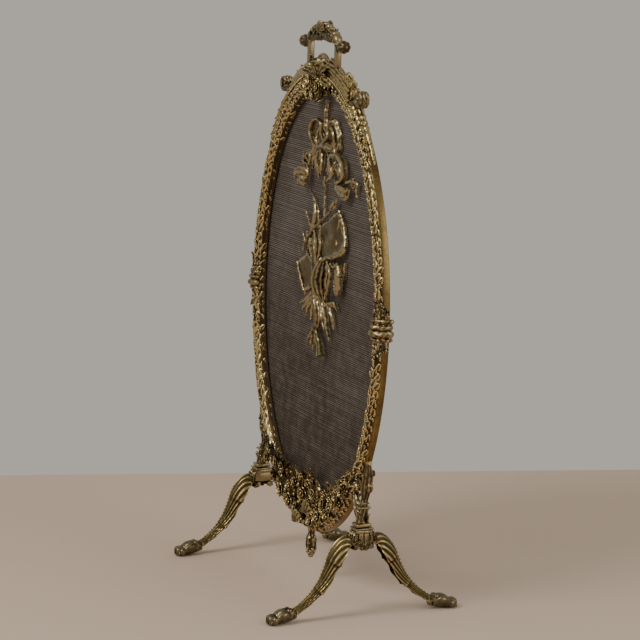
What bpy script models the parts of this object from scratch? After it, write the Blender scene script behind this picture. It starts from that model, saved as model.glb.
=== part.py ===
"""Oval fireplace screen of cast brass on four cabriole legs.

Metres, +Z up. The origin is on the floor under the middle of the screen, -Y is the
front (the side with the trophy), and X runs across the oval. The panel is built
upright and is then tilted back about a line through TILT_Z.
"""
import math

import bmesh
import bpy
from mathutils import Matrix, Vector

# ---------------------------------------------------------------- driving dimensions
RING_A = 0.262            # half width of the oval, outer edge
RING_B = 0.3218           # half height of the oval, outer edge
RING_Z = 0.3965           # height of the oval's middle
MOULDING_FRONT = -0.0138  # crown of the front moulding
TOP_Z = 0.790             # top of the handle
TILT_Z = 0.080            # the panel leans back about this height
PANEL_LEAN = math.radians(2.46)
PANEL_Y = 0.003           # the panel plane stands this far behind the middle of the legs
GAP = 0.0004              # air left between neighbouring pieces

MESH_FRONT = 0.0046       # the wire cloth lies between these two planes
MESH_BACK = 0.0062
HOOP_BACK = 0.0088        # rear face of the hoop that holds the cloth
MESH_REACH = 0.0115       # the cloth ends this far inside the ring's outer edge

CREST_FRONT = -0.0130
CREST_BACK = 0.0060
HANDLE_POST_X = 0.0545
HANDLE_POST_W = 0.0100
HANDLE_POST_D = 0.0080
HANDLE_FOOT_Z = 0.7250
HANDLE_BEND_Z = 0.7590
HANDLE_CROWN_Z = 0.7715
ROSETTE_Z = 0.7559
EAR_X = 0.1520
EAR_Z = 0.6905
EAR_RADIUS = 0.0135

LEG_X = 0.209             # the plane of each pair of legs
PLATE_TOP = 0.1280
PLATE_BOTTOM = 0.0960
PAW_TIP_Y = 0.135
TROPHY_X = 0.012          # the trophy hangs a little off the middle
FLOOR_Z = 0.0

OVAL_STEPS = 84           # straight pieces in the whole oval

# Centre line of a front leg from the plate to the paw: (distance from the panel, height, radius)
LEG_LINE = (
    (0.0184, 0.1030, 0.0080),
    (0.0212, 0.1024, 0.0090),
    (0.0275, 0.0960, 0.0108),
    (0.0355, 0.0835, 0.0115),
    (0.0437, 0.0668, 0.0105),
    (0.0530, 0.0503, 0.0088),
    (0.0655, 0.0362, 0.0070),
    (0.0795, 0.0250, 0.0058),
    (0.0930, 0.0170, 0.0055),
    (0.1050, 0.0125, 0.0062),
)

# Section of the ring: (distance inwards from the outer edge, distance in front of the panel plane)
RING_SECTION = (
    (0.0000, -0.0049), (0.0000, 0.0042), (0.0012, 0.0056), (0.0030, 0.0060),
    (0.0046, 0.0098), (0.0082, 0.0130), (0.0120, 0.0138), (0.0160, 0.0128),
    (0.0195, 0.0098), (0.0215, 0.0062), (0.0228, 0.0066), (0.0246, 0.0058),
    (0.0258, 0.0036), (0.0262, 0.0018), (0.0262, -0.0042), (0.0106, -0.0042),
    (0.0106, -0.0049),
)


# ---------------------------------------------------------------- scene and materials
def clear_scene():
    for item in list(bpy.data.objects):
        bpy.data.objects.remove(item, do_unlink=True)


def new_collection(name):
    collection = bpy.data.collections.new(name)
    bpy.context.scene.collection.children.link(collection)
    return collection


def metal(name, colour, roughness, metallic=1.0):
    material = bpy.data.materials.new(name)
    material.use_nodes = True
    shader = material.node_tree.nodes["Principled BSDF"]
    shader.inputs["Base Color"].default_value = (*colour, 1.0)
    shader.inputs["Roughness"].default_value = roughness
    shader.inputs["Metallic"].default_value = metallic
    material.diffuse_color = (*colour, 1.0)
    return material


clear_scene()
PARTS = new_collection("fireplace_screen")
CUTTERS = new_collection("cutters")

GILT = (0.42, 0.30, 0.13)
DARK_GILT = (0.30, 0.22, 0.11)
RIM_BRASS = (0.52, 0.35, 0.13)
LEG_BRASS = (0.30, 0.26, 0.15)
IRON = (0.10, 0.085, 0.075)

PANEL = bpy.data.objects.new("panel_tilt", None)
PANEL.location = (0.0, PANEL_Y, TILT_Z)
PANEL.rotation_euler = (-PANEL_LEAN, 0.0, 0.0)
PARTS.objects.link(PANEL)


# ---------------------------------------------------------------- modelling helpers
def add_part(name, mesh, colour, roughness, on_panel=True):
    """Put a finished mesh, drawn in upright coordinates, into the model as one piece."""
    piece = bpy.data.objects.new(name, mesh)
    mesh.materials.clear()
    mesh.materials.append(metal(name, colour, roughness))
    mesh.shade_smooth()
    mesh.set_sharp_from_angle(angle=math.radians(40))
    PARTS.objects.link(piece)
    if on_panel:
        piece.parent = PANEL
        piece.location = (0.0, 0.0, -TILT_Z)
    return piece


def closed(mesh):
    """Weld the caps of a mesh that came from a curve and turn its faces outwards."""
    work = bmesh.new()
    work.from_mesh(mesh)
    bmesh.ops.remove_doubles(work, verts=work.verts, dist=0.00001)
    bmesh.ops.recalc_face_normals(work, faces=work.faces)
    work.to_mesh(mesh)
    work.free()
    return mesh


def mesh_of_curve(curve, matrix=None):
    """Turn a curve into a welded mesh and drop the curve."""
    holder = bpy.data.objects.new(curve.name, curve)
    CUTTERS.objects.link(holder)
    bpy.context.view_layer.update()
    graph = bpy.context.evaluated_depsgraph_get()
    mesh = bpy.data.meshes.new_from_object(holder.evaluated_get(graph))
    if matrix is not None:
        mesh.transform(matrix)
    bpy.data.objects.remove(holder, do_unlink=True)
    return closed(mesh)


def poly_spline(curve, points, radii=None, cyclic=False):
    spline = curve.splines.new("POLY")
    spline.points.add(len(points) - 1)
    for index, point in enumerate(points):
        spline.points[index].co = (*point, 1.0)
        if radii is not None:
            spline.points[index].radius = radii[index]
    spline.use_cyclic_u = cyclic
    return spline


STAND_UP = Matrix.Rotation(math.radians(90), 4, "X")


def oval_outline(inset, start, end, steps):
    """Points on the oval, inset inwards from its outer edge; angles run from +X over the top."""
    points = []
    for index in range(steps):
        angle = start + (end - start) * index / max(1, steps - 1)
        x = RING_A * math.cos(angle)
        z = RING_B * math.sin(angle)
        normal = Vector((math.cos(angle) / RING_A, math.sin(angle) / RING_B)).normalized()
        points.append((x - inset * normal.x, z - inset * normal.y + RING_Z))
    return points


def oval_sweep(name, section, start=0.0, end=2 * math.pi):
    """Carry a section of (inset, front) pairs along the oval, all round or over a part of it."""
    whole = end - start > 6.2
    steps = OVAL_STEPS if whole else max(6, round(OVAL_STEPS * (end - start) / 6.2832))
    last = end - (end - start) / steps if whole else end
    route = [(x, z, 0.0) for x, z in oval_outline(0.0, start, last, steps)]
    profile = bpy.data.curves.new(name + "_section", "CURVE")
    profile.dimensions = "2D"
    poly_spline(profile, [(-inset, front, 0.0) for inset, front in section], cyclic=True)
    profile_object = bpy.data.objects.new(name + "_section", profile)
    CUTTERS.objects.link(profile_object)
    curve = bpy.data.curves.new(name, "CURVE")
    curve.dimensions = "3D"
    curve.twist_mode = "Z_UP"
    curve.fill_mode = "FULL"
    curve.bevel_mode = "OBJECT"
    curve.bevel_object = profile_object
    curve.use_fill_caps = not whole
    poly_spline(curve, route, cyclic=whole)
    mesh = mesh_of_curve(curve, STAND_UP)
    bpy.data.objects.remove(profile_object, do_unlink=True)
    return mesh


def plate(name, outline, front, back, chamfer=0.0):
    """A flat (x, z) outline made solid between two planes across Y."""
    curve = bpy.data.curves.new(name, "CURVE")
    curve.dimensions = "2D"
    curve.fill_mode = "BOTH"
    curve.extrude = (back - front) / 2 - chamfer
    curve.bevel_depth = chamfer
    curve.bevel_resolution = 0
    curve.offset = -chamfer
    poly_spline(curve, [(x, z, 0.0) for x, z in outline], cyclic=True)
    middle = Matrix.Translation((0.0, (front + back) / 2, 0.0))
    return mesh_of_curve(curve, middle @ STAND_UP)


def smooth_route(points, pieces=4):
    """Points on a Catmull-Rom curve through the given ones."""
    route = [Vector(point) for point in points]
    ends = [route[0] * 2 - route[1]] + route + [route[-1] * 2 - route[-2]]
    result = []
    for index in range(1, len(ends) - 2):
        before, here, there, after = ends[index - 1:index + 3]
        for step in range(pieces):
            t = step / pieces
            result.append(0.5 * ((2 * here) + (there - before) * t
                                 + (2 * before - 5 * here + 4 * there - after) * t * t
                                 + (3 * here - before - 3 * there + after) * t ** 3))
    result.append(route[-1])
    return result


def tube(name, points, radii, sides=8, pieces=3):
    """A round bar along a smooth route; radii is one number or one for each point."""
    if not isinstance(radii, (list, tuple)):
        radii = [radii] * len(points)
    both = [(*point, radius, 0.0) for point, radius in zip(points, radii)]
    dense = smooth_route(both, pieces)
    curve = bpy.data.curves.new(name, "CURVE")
    curve.dimensions = "3D"
    curve.bevel_depth = 0.001
    curve.bevel_resolution = (sides - 4) // 2
    curve.use_fill_caps = True
    poly_spline(curve, [tuple(p[0:3]) for p in dense], [p[3] / 0.001 for p in dense])
    return mesh_of_curve(curve)


def turned(name, profile, centre, axis="Z", steps=16):
    """Spin a profile of (radius, height) pairs, listed top to bottom, about an axis."""
    work = bmesh.new()
    chain = [work.verts.new((radius, 0.0, height)) for radius, height in profile]
    for first, second in zip(chain, chain[1:]):
        work.edges.new((first, second))
    bmesh.ops.spin(work, geom=work.verts[:] + work.edges[:], cent=(0, 0, 0), axis=(0, 0, 1),
                   angle=2 * math.pi, steps=steps, use_merge=True)
    bmesh.ops.remove_doubles(work, verts=work.verts, dist=0.00001)
    bmesh.ops.recalc_face_normals(work, faces=work.faces)
    turn = {"Z": Matrix(), "X": Matrix.Rotation(math.radians(90), 4, "Y"),
            "-X": Matrix.Rotation(math.radians(-90), 4, "Y"),
            "-Y": Matrix.Rotation(math.radians(90), 4, "X")}[axis]
    work.transform(Matrix.Translation(centre) @ turn)
    mesh = bpy.data.meshes.new(name)
    work.to_mesh(mesh)
    work.free()
    return mesh


def ball(name, centre, radii, rings=8, segments=14):
    work = bmesh.new()
    bmesh.ops.create_uvsphere(work, u_segments=segments, v_segments=rings, radius=1.0)
    work.transform(Matrix.Translation(centre) @ Matrix.Diagonal((*radii, 1.0)))
    mesh = bpy.data.meshes.new(name)
    work.to_mesh(mesh)
    work.free()
    return mesh


def combine(name, first, other, operation):
    """Boolean of two meshes, returned as one mesh."""
    base = bpy.data.objects.new(name, first)
    tool = bpy.data.objects.new(name + "_tool", other)
    CUTTERS.objects.link(base)
    CUTTERS.objects.link(tool)
    tool.hide_render = True
    tool.display_type = "WIRE"
    step = base.modifiers.new("join", "BOOLEAN")
    step.operation = operation
    step.object = tool
    bpy.context.view_layer.update()
    graph = bpy.context.evaluated_depsgraph_get()
    mesh = bpy.data.meshes.new_from_object(base.evaluated_get(graph))
    bpy.data.objects.remove(base, do_unlink=True)
    bpy.data.objects.remove(tool, do_unlink=True)
    return closed(mesh)


def mirrored(points, flip=-1):
    return [(flip * x, z) for x, z in reversed(points)]


# ---------------------------------------------------------------- the oval frame
def build_frame():
    add_part("oval_frame", oval_sweep("oval_frame", RING_SECTION), GILT, 0.40)
    cloth = oval_outline(MESH_REACH, 0.0, 2 * math.pi * (1 - 1 / OVAL_STEPS), OVAL_STEPS)
    add_part("wire_mesh", plate("wire_mesh", cloth, MESH_FRONT, MESH_BACK), IRON, 0.60)
    near, far = -(MESH_BACK + GAP), -HOOP_BACK
    hoop = ((0.0130, near), (0.0130, far), (0.0235, far), (0.0235, near))
    add_part("back_hoop", oval_sweep("back_hoop", hoop), DARK_GILT, 0.45)


def build_hoop_screws(count=8):
    """Cheese-head screws that hold the rear hoop and the wire cloth in the ring."""
    head = ((0.0, 0.0018), (0.0026, 0.0018), (0.0030, 0.0012), (0.0030, 0.0), (0.0, 0.0))
    for index in range(count):
        angle = 2 * math.pi * (index + 0.5) / count
        x, z = oval_outline(0.0182, angle, angle, 1)[0]
        centre = (x, HOOP_BACK + GAP, z)
        mesh = turned("hoop_screw", head, (0, 0, 0), steps=12)
        mesh.transform(Matrix.Translation(centre) @ Matrix.Rotation(math.radians(-90), 4, "X"))
        add_part(f"hoop_screw_{index + 1}", mesh, DARK_GILT, 0.45)


def build_side_mounts():
    """Clasps at mid height and long leaves under the ears, both wrapped round the ring's edge."""
    clasp = ((-GAP, -0.0075), (-0.0060, -0.0068), (-0.0085, -0.0010), (-0.0080, 0.0060),
             (-0.0040, 0.0120), (0.0040, 0.0175), (0.0120, 0.0190), (0.0190, 0.0170),
             (0.0240, 0.0120), (0.0250, 0.0082), (0.0240, 0.0070), (0.0220, 0.0073), (0.0202, 0.0103),
             (0.0164, 0.0136), (0.0120, 0.0146), (0.0078, 0.0138), (0.0038, 0.0106),
             (0.0026, 0.0068), (0.0008, 0.0063), (-GAP, 0.0046))
    leaf = ((-GAP, -0.0049), (-0.0060, -0.0040), (-0.0072, 0.0010), (-0.0060, 0.0070),
            (-0.0020, 0.0120), (0.0045, 0.0165), (0.0085, 0.0165), (0.0078, 0.0138),
            (0.0038, 0.0106), (0.0026, 0.0068), (0.0008, 0.0063), (-GAP, 0.0046))
    half = 0.062
    low, high = math.radians(41.5), math.radians(57.5)
    for side, middle in (("right", 0.0), ("left", math.pi)):
        mesh = oval_sweep("mid_clasp", clasp, middle - half, middle + half)
        add_part(f"mid_clasp_{side}", mesh, GILT, 0.40)
        start, end = (low, high) if side == "right" else (math.pi - high, math.pi - low)
        mesh = oval_sweep("shoulder_leaf", leaf, start, end)
        add_part(f"shoulder_leaf_{side}", mesh, GILT, 0.40)


# ---------------------------------------------------------------- crest and handle
def build_crest():
    stem = math.radians(62.5)
    seat = oval_outline(-GAP, stem, math.pi - stem, 17)
    right = [(0.1380, 0.6790), (0.1385, 0.6860), (0.1300, 0.6900), (0.1270, 0.6990), (0.1120, 0.7030),
             (0.1060, 0.7090), (0.0960, 0.7110), (0.0920, 0.7165), (0.0700, 0.7225)]
    inner = [(0.0380, 0.7245), (0.0300, 0.7300), (0.0200, 0.7345), (0.0, 0.7355)]
    outline = right + inner + mirrored(right + inner[:-1]) + list(reversed(seat))
    mesh = plate("crest", outline, CREST_FRONT, CREST_BACK, 0.0012)
    add_part("crest", mesh, GILT, 0.40)


def build_ears():
    """The pair of curled volutes that stand out from the crest's shoulders."""
    disc = ((0.0, 0.0070), (0.0090, 0.0070), (EAR_RADIUS, 0.0035), (EAR_RADIUS, -0.0035),
            (0.0090, -0.0070), (0.0, -0.0070))
    for side, sign in (("left", -1), ("right", 1)):
        mesh = turned("crest_ear", disc, (sign * EAR_X, -0.0035, EAR_Z), "-Y", steps=20)
        add_part(f"crest_ear_{side}", mesh, GILT, 0.38)


def build_palmette():
    profile = ((0.0, 0.0090), (0.0190, 0.0078), (0.0330, 0.0045), (0.0400, 0.0), (0.0, 0.0))
    mesh = turned("crest_palmette", profile, (0, 0, 0), "-Y", steps=24)
    mesh.transform(Matrix.Translation((0.0, -0.0140, 0.6985)) @ Matrix.Diagonal((1.05, 1.0, 0.80, 1.0)))
    add_part("crest_palmette", mesh, GILT, 0.38)


def build_handle():
    """Fixed carrying handle: two square posts that run on into a low arch."""
    bow = [(-HANDLE_POST_X, HANDLE_FOOT_Z), (-HANDLE_POST_X, HANDLE_BEND_Z - 0.004)]
    for index in range(1, 12):
        angle = math.pi * (1 - index / 12)
        rise = HANDLE_CROWN_Z - HANDLE_BEND_Z
        bow.append((HANDLE_POST_X * math.cos(angle), HANDLE_BEND_Z + rise * math.sin(angle)))
    bow += mirrored(bow[:2])
    inner, outer = [], []
    for index, (x, z) in enumerate(bow):
        before = Vector(bow[max(0, index - 1)])
        after = Vector(bow[min(len(bow) - 1, index + 1)])
        along = (after - before).normalized()
        side = Vector((-along.y, along.x)) * HANDLE_POST_W / 2
        outer.append((x + side.x, z + side.y))
        inner.append((x - side.x, z - side.y))
    front, back = -0.0040 - HANDLE_POST_D / 2, -0.0040 + HANDLE_POST_D / 2
    add_part("handle", plate("handle", outer + inner[::-1], front, back, 0.0010), GILT, 0.38)
    knob = ((0.0, 0.0285), (0.0060, 0.0270), (0.0085, 0.0215), (0.0080, 0.0130), (0.0045, 0.0080),
            (0.0040, 0.0), (0.0, 0.0))
    root = HANDLE_POST_X + HANDLE_POST_W / 2 + GAP
    for side, sign, axis in (("left", -1, "-X"), ("right", 1, "X")):
        mesh = turned("handle_rosette", knob, (sign * root, -0.0040, ROSETTE_Z), axis, steps=14)
        add_part(f"handle_rosette_{side}", mesh, GILT, 0.38)
    crown = HANDLE_CROWN_Z + HANDLE_POST_W / 2 + GAP
    shell = [(-0.0230, crown), (-0.0260, crown + 0.0050), (-0.0150, TOP_Z - 0.0020), (0.0, TOP_Z)]
    outline = shell + mirrored(shell[:-1])
    add_part("handle_shell", plate("handle_shell", outline[::-1], -0.0085, 0.0005, 0.001), GILT, 0.38)


def build_handle_nuts():
    """Nuts that draw the handle's posts down, on threaded ends behind the crest."""
    nut = ((0.0, 0.0026), (0.0042, 0.0026), (0.0048, 0.0018), (0.0048, 0.0), (0.0, 0.0))
    for side, sign in (("left", -1), ("right", 1)):
        mesh = turned("nut", nut, (0, 0, 0), steps=6)
        place = Matrix.Translation((sign * HANDLE_POST_X, CREST_BACK + GAP, 0.7160))
        mesh.transform(place @ Matrix.Rotation(math.radians(-90), 4, "X"))
        add_part(f"handle_nut_{side}", mesh, DARK_GILT, 0.45)


# ---------------------------------------------------------------- the trophy on the mesh
def trophy_plate(name, points, low, high):
    """A flat piece between two heights above the wire cloth."""
    outline = [(TROPHY_X + x, z) for x, z in points]
    add_part(name, plate(name, outline, MESH_FRONT - high, MESH_FRONT - low, 0.0008), GILT, 0.42)


def trophy_tube(name, points, radii, colour=GILT, sides=8):
    """A rounded piece whose points are (x, height above the wire cloth, z)."""
    route = [(TROPHY_X + x, MESH_FRONT - height, z) for x, height, z in points]
    add_part(name, tube(name, route, radii, sides, 3), colour, 0.42)


def build_ribbon():
    """Two bow loops, two fluttering tails, a short drop and the knot that gathers them."""
    loop = [(0.0036, 0.0135, 0.6280), (0.0240, 0.0145, 0.6480), (0.0410, 0.0135, 0.6400),
            (0.0360, 0.0135, 0.6200), (0.0046, 0.0135, 0.6170)]
    tail = [(0.0046, 0.0125, 0.6080), (0.0220, 0.0135, 0.5960), (0.0400, 0.0125, 0.6000),
            (0.0660, 0.0125, 0.5880), (0.0880, 0.0135, 0.5700), (0.1060, 0.0125, 0.5760)]
    for side, sign in (("left", -1), ("right", 1)):
        flip = [(sign * x, height, z) for x, height, z in loop]
        trophy_tube(f"ribbon_bow_{side}", flip, [0.003, 0.006, 0.006, 0.006, 0.003])
        flip = [(sign * x, height, z) for x, height, z in tail]
        trophy_tube(f"ribbon_tail_{side}", flip, [0.003, 0.005, 0.005, 0.005, 0.005, 0.003])
    trophy_plate("ribbon_drop", [(-0.012, 0.5920), (-0.016, 0.5400), (0.014, 0.5400), (0.010, 0.5920)],
                 0.0065, 0.0115)
    centre = (TROPHY_X, MESH_FRONT - 0.0217, 0.6170)
    add_part("ribbon_knot", ball("ribbon_knot", centre, (0.0095, 0.0045, 0.0110)), GILT, 0.42)


def build_instruments():
    """Instruments and tools in high relief, in layers in front of the wire cloth."""
    trophy_tube("trophy_rod", [(0, 0.0035, 0.6640), (0, 0.0035, 0.5000), (0, 0.0035, 0.3520)],
                0.0020, DARK_GILT, 6)
    trophy_plate("music_book", [(-0.036, 0.4560), (-0.030, 0.5170), (0.002, 0.5230), (0.046, 0.5050),
                                (0.050, 0.4460), (0.006, 0.4620)], 0.0120, 0.0175)
    trophy_tube("flute", [(-0.050, 0.0085, 0.5330), (0.000, 0.0085, 0.4750), (0.066, 0.0085, 0.3960)],
                [0.0026, 0.0026, 0.0036])
    trophy_tube("arrow_shaft", [(0.050, 0.0211, 0.5330), (0.010, 0.0211, 0.4900),
                                (-0.050, 0.0211, 0.4240)], 0.0024)
    drum = ((0.0, 0.0090), (0.0200, 0.0090), (0.0230, 0.0070), (0.0230, 0.0), (0.0, 0.0))
    centre = (TROPHY_X + 0.0620, MESH_FRONT - 0.0181, 0.4300)
    add_part("tambourine", turned("tambourine", drum, centre, "-Y", steps=20), GILT, 0.42)
    centre = (TROPHY_X + 0.0040, MESH_FRONT - 0.0215, 0.4200)
    add_part("bagpipe", ball("bagpipe", centre, (0.030, 0.0075, 0.0240)), GILT, 0.42)
    trophy_tube("torch", [(0.000, 0.0115, 0.3900), (-0.004, 0.0135, 0.3700), (-0.002, 0.0157, 0.3450),
                          (0.004, 0.0177, 0.3260)], [0.0048, 0.0060, 0.0090, 0.0115])
    sprig = [(0.0140, 0.0105, 0.4040), (0.0340, 0.0105, 0.3860), (0.0460, 0.0105, 0.3640)]
    for side, sign in (("left", -1), ("right", 1)):
        flip = [(sign * x, height, z) for x, height, z in sprig]
        trophy_tube(f"laurel_{side}", flip, [0.003, 0.006, 0.003])


# ---------------------------------------------------------------- foot of the oval
def build_bottom():
    """Scrolling garland over the bottom of the oval, and the bud that hangs below it."""
    foot = oval_outline(0.0015, math.radians(270 - 42), math.radians(270 + 42), 25)
    peaks = [(0.1540, 0.1640), (0.1200, 0.1440), (0.0860, 0.1440), (0.0560, 0.1240), (0.0150, 0.1260),
             (-0.0080, 0.1500), (-0.0420, 0.1430), (-0.0800, 0.1470), (-0.1150, 0.1500),
             (-0.1520, 0.1640)]
    front = MOULDING_FRONT - 0.0060
    mesh = plate("bottom_garland", foot + peaks, front, MOULDING_FRONT - GAP, 0.001)
    add_part("bottom_garland", mesh, GILT, 0.42)
    low = RING_Z - RING_B - GAP
    bud = ((0.0, 0.0), (0.0070, 0.0), (0.0080, -0.0030), (0.0045, -0.0070), (0.0040, -0.0110),
           (0.0080, -0.0170), (0.0095, -0.0230), (0.0085, -0.0310), (0.0045, -0.0380), (0.0, -0.0410))
    add_part("pendant_finial", turned("pendant_finial", bud, (0.0, 0.0, low)), GILT, 0.40)


# ---------------------------------------------------------------- brackets and legs
def build_brackets():
    """The stile that stands beside the oval on each side and carries a pair of legs."""
    arc = oval_outline(-GAP, math.radians(-52.5), math.radians(-34.4), 11)
    outer = [(0.2240, 0.2150), (0.2250, 0.1880), (0.2200, 0.1790), (0.2120, 0.1740), (0.2110, 0.1600),
             (0.2190, 0.1560), (0.2200, 0.1340), (0.2120, PLATE_TOP + GAP), (0.1900, PLATE_TOP + GAP)]
    bolt = ((0.0, 0.0030), (0.0040, 0.0030), (0.0048, 0.0020), (0.0048, 0.0), (0.0, 0.0))
    for side, sign in (("left", -1), ("right", 1)):
        outline = [(sign * x, z) for x, z in arc + outer]
        mesh = plate("leg_bracket", outline, -0.0075, 0.0075, 0.0012)
        add_part(f"leg_bracket_{side}", mesh, GILT, 0.42)
        mesh = turned("bracket_bolt", bolt, (0, 0, 0), steps=6)
        place = Matrix.Translation((sign * 0.2080, 0.0075 + GAP, 0.1950))
        mesh.transform(place @ Matrix.Rotation(math.radians(-90), 4, "X"))
        add_part(f"bracket_bolt_{side}", mesh, DARK_GILT, 0.45)


def build_plates():
    """Trapezoid blocks with a scalloped underside, between the stile and the two legs."""
    half = [(0.0080, PLATE_TOP - 0.001), (0.0095, 0.1190), (0.0155, 0.1130), (0.0150, 0.0980),
            (0.0080, PLATE_BOTTOM), (0.0, 0.0920)]
    for side, sign in (("left", -1), ("right", 1)):
        outline = half + mirrored(half[:-1])
        mesh = plate("leg_plate", outline, -0.0105, 0.0105, 0.001)
        mesh.transform(Matrix.Translation((sign * LEG_X, 0, 0)) @ Matrix.Rotation(math.radians(90), 4, "Z"))
        add_part(f"leg_plate_{side}", mesh, LEG_BRASS, 0.45, on_panel=False)


def leg_mesh(sign_x, sign_y):
    """One cabriole leg with its paw, flat underneath where it stands on the floor."""
    points = [(sign_x * LEG_X, sign_y * reach, height) for reach, height, _ in LEG_LINE]
    shaft = tube("leg", points, [radius for _, _, radius in LEG_LINE], sides=10, pieces=2)
    paw_length = 0.0175
    centre = (sign_x * LEG_X, sign_y * (PAW_TIP_Y - paw_length), 0.0095)
    paw = ball("paw", centre, (0.0125, paw_length, 0.0118), 12, 18)
    whole = combine("leg", shaft, paw, "UNION")
    work = bmesh.new()
    bmesh.ops.create_cube(work, size=1.0)
    work.transform(Matrix.Translation((0, 0, FLOOR_Z - 0.5)) @ Matrix.Diagonal((1.0, 1.0, 1.0, 1.0)))
    ground = bpy.data.meshes.new("ground")
    work.to_mesh(ground)
    work.free()
    return combine("leg", whole, ground, "DIFFERENCE")


def build_legs():
    for side, sign_x in (("left", -1), ("right", 1)):
        for end, sign_y in (("front", -1), ("back", 1)):
            mesh = leg_mesh(sign_x, sign_y)
            add_part(f"leg_{end}_{side}", mesh, LEG_BRASS, 0.45, on_panel=False)


build_frame()
build_hoop_screws()
build_side_mounts()
build_crest()
build_ears()
build_palmette()
build_handle()
build_handle_nuts()
build_ribbon()
build_instruments()
build_bottom()
build_brackets()
build_plates()
build_legs()
bpy.context.view_layer.update()
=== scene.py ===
# %% [markdown]
# # An oval fireplace screen in aged brass
#
# The screen is one heavy cast ring around a sheet of wire cloth, dressed with leaves, a
# ribbon trophy, a crest with a carrying handle, and four cabriole legs that end in paws.
# The CAD frame gives every size and place. This script gives the castings their leaves,
# flutes, beads and patina, with painted shade in their hollows and painted highlights on
# their high points. It could be sculpted by hand, but castings like these repeat
# a few motifs (leaf, bead, scroll, flower), so small functions for the motifs go a long way.

# %% Load the frame
import math
import random

import bmesh
import bpy
import numpy as np
from mathutils import Matrix, Vector, noise


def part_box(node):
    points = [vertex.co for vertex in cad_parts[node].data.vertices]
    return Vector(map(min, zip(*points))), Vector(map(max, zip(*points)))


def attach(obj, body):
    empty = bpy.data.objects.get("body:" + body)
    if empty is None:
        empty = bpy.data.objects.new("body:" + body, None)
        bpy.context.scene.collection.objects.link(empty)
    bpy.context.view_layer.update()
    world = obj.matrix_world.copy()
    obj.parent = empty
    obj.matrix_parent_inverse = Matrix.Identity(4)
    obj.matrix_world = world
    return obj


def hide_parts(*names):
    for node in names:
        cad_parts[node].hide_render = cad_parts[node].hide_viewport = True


noise.seed_set(1)       # unseeded, noise_vector starts from the clock and changes each run
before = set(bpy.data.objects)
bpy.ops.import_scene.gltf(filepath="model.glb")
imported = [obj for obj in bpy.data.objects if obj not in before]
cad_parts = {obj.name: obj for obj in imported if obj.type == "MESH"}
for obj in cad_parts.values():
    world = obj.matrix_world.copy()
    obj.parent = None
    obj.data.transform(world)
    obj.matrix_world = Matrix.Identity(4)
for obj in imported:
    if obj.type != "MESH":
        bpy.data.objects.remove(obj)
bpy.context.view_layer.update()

# %% [markdown]
# ## The leaning panel
#
# The oval leans back a little on its legs. Everything on it is easier to draw upright, so
# the panel has its own upright coordinates: X across, Y back, Z up. The lean is measured
# on the wire cloth's flat face, which is exact, and one matrix takes a finished mesh from
# the upright drawing to its true place.

# %% Measure the lean and the oval
TILT_Z = 0.08


def widest_normal(node):
    """The normal of a node's largest face that looks to the front."""
    mesh = node.data
    front = [face for face in mesh.polygons if face.normal.y < -0.5]
    return max(front, key=lambda face: face.area).normal.copy()


cloth_normal = widest_normal(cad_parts["wire_mesh"])
LEAN = math.atan2(cloth_normal.z, -cloth_normal.y)
PANEL_Y = 0.003
PIVOT = Matrix.Translation((0, 0, TILT_Z))
TO_WORLD = (Matrix.Translation((0, PANEL_Y, 0)) @ PIVOT @ Matrix.Rotation(-LEAN, 4, "X")
            @ PIVOT.inverted())
TO_PANEL = TO_WORLD.inverted()


def panel_box(name):
    """A node's lowest and highest corners, in the panel's upright coordinates."""
    points = [TO_PANEL @ vertex.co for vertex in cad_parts[name].data.vertices]
    low = Vector([min(point[axis] for point in points) for axis in range(3)])
    high = Vector([max(point[axis] for point in points) for axis in range(3)])
    return low, high


ring_low, ring_high = panel_box("oval_frame")
OVAL_A = ring_high.x
OVAL_B = (ring_high.z - ring_low.z) / 2
OVAL_Z = (ring_high.z + ring_low.z) / 2
CLOTH_Y = panel_box("wire_mesh")[0].y
print("lean", round(math.degrees(LEAN), 2), "oval", round(OVAL_A, 4), round(OVAL_B, 4), round(OVAL_Z, 4))

# %% [markdown]
# ## Camera
#
# The screen is seen almost edge on from its right, a little above, with a long lens that
# keeps the oval's near and far sides nearly the same size. A turned and tilted camera is
# written down as three angles and a distance, so it can be read and changed.

# %% Camera
YAW, PITCH, ROLL = math.radians(70.3), math.radians(9.21), math.radians(-0.5)
DISTANCE = 4.111
AIM = Vector((0.0057, 0.0159, 0.3722))
LENS = 166.0

forward = Vector((-math.sin(YAW) * math.cos(PITCH), math.cos(YAW) * math.cos(PITCH), -math.sin(PITCH)))
level = Vector((math.cos(YAW), math.sin(YAW), 0.0))
upward = level.cross(forward)
turned_right = level * math.cos(ROLL) + upward * math.sin(ROLL)
turned_up = upward * math.cos(ROLL) - level * math.sin(ROLL)
camera_data = bpy.data.cameras.new("camera")
camera_data.lens = LENS
camera_data.sensor_width = 36.0
camera = bpy.data.objects.new("camera", camera_data)
camera.matrix_world = Matrix((
    (turned_right.x, turned_up.x, -forward.x, 0.0),
    (turned_right.y, turned_up.y, -forward.y, 0.0),
    (turned_right.z, turned_up.z, -forward.z, 0.0),
    (0.0, 0.0, 0.0, 1.0)))
camera.location = AIM - forward * DISTANCE
bpy.context.scene.collection.objects.link(camera)
bpy.context.scene.camera = camera
print("camera at", [round(value, 3) for value in camera.location])


# %% [markdown]
# ## Meshes from bmesh operators
#
# Most castings here are thin or rounded shapes that a grid describes well: a grid is made
# by the create_grid operator and each of its vertices is then set by a small formula of
# (u, v). Closing the grid on itself gives a tube or a bud, and extruding a sheet along its
# normals gives a leaf its thickness. Solidify could do that too, but it throws spikes where
# a leaf's tip is thin. The helpers below also copy a motif many times.

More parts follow.
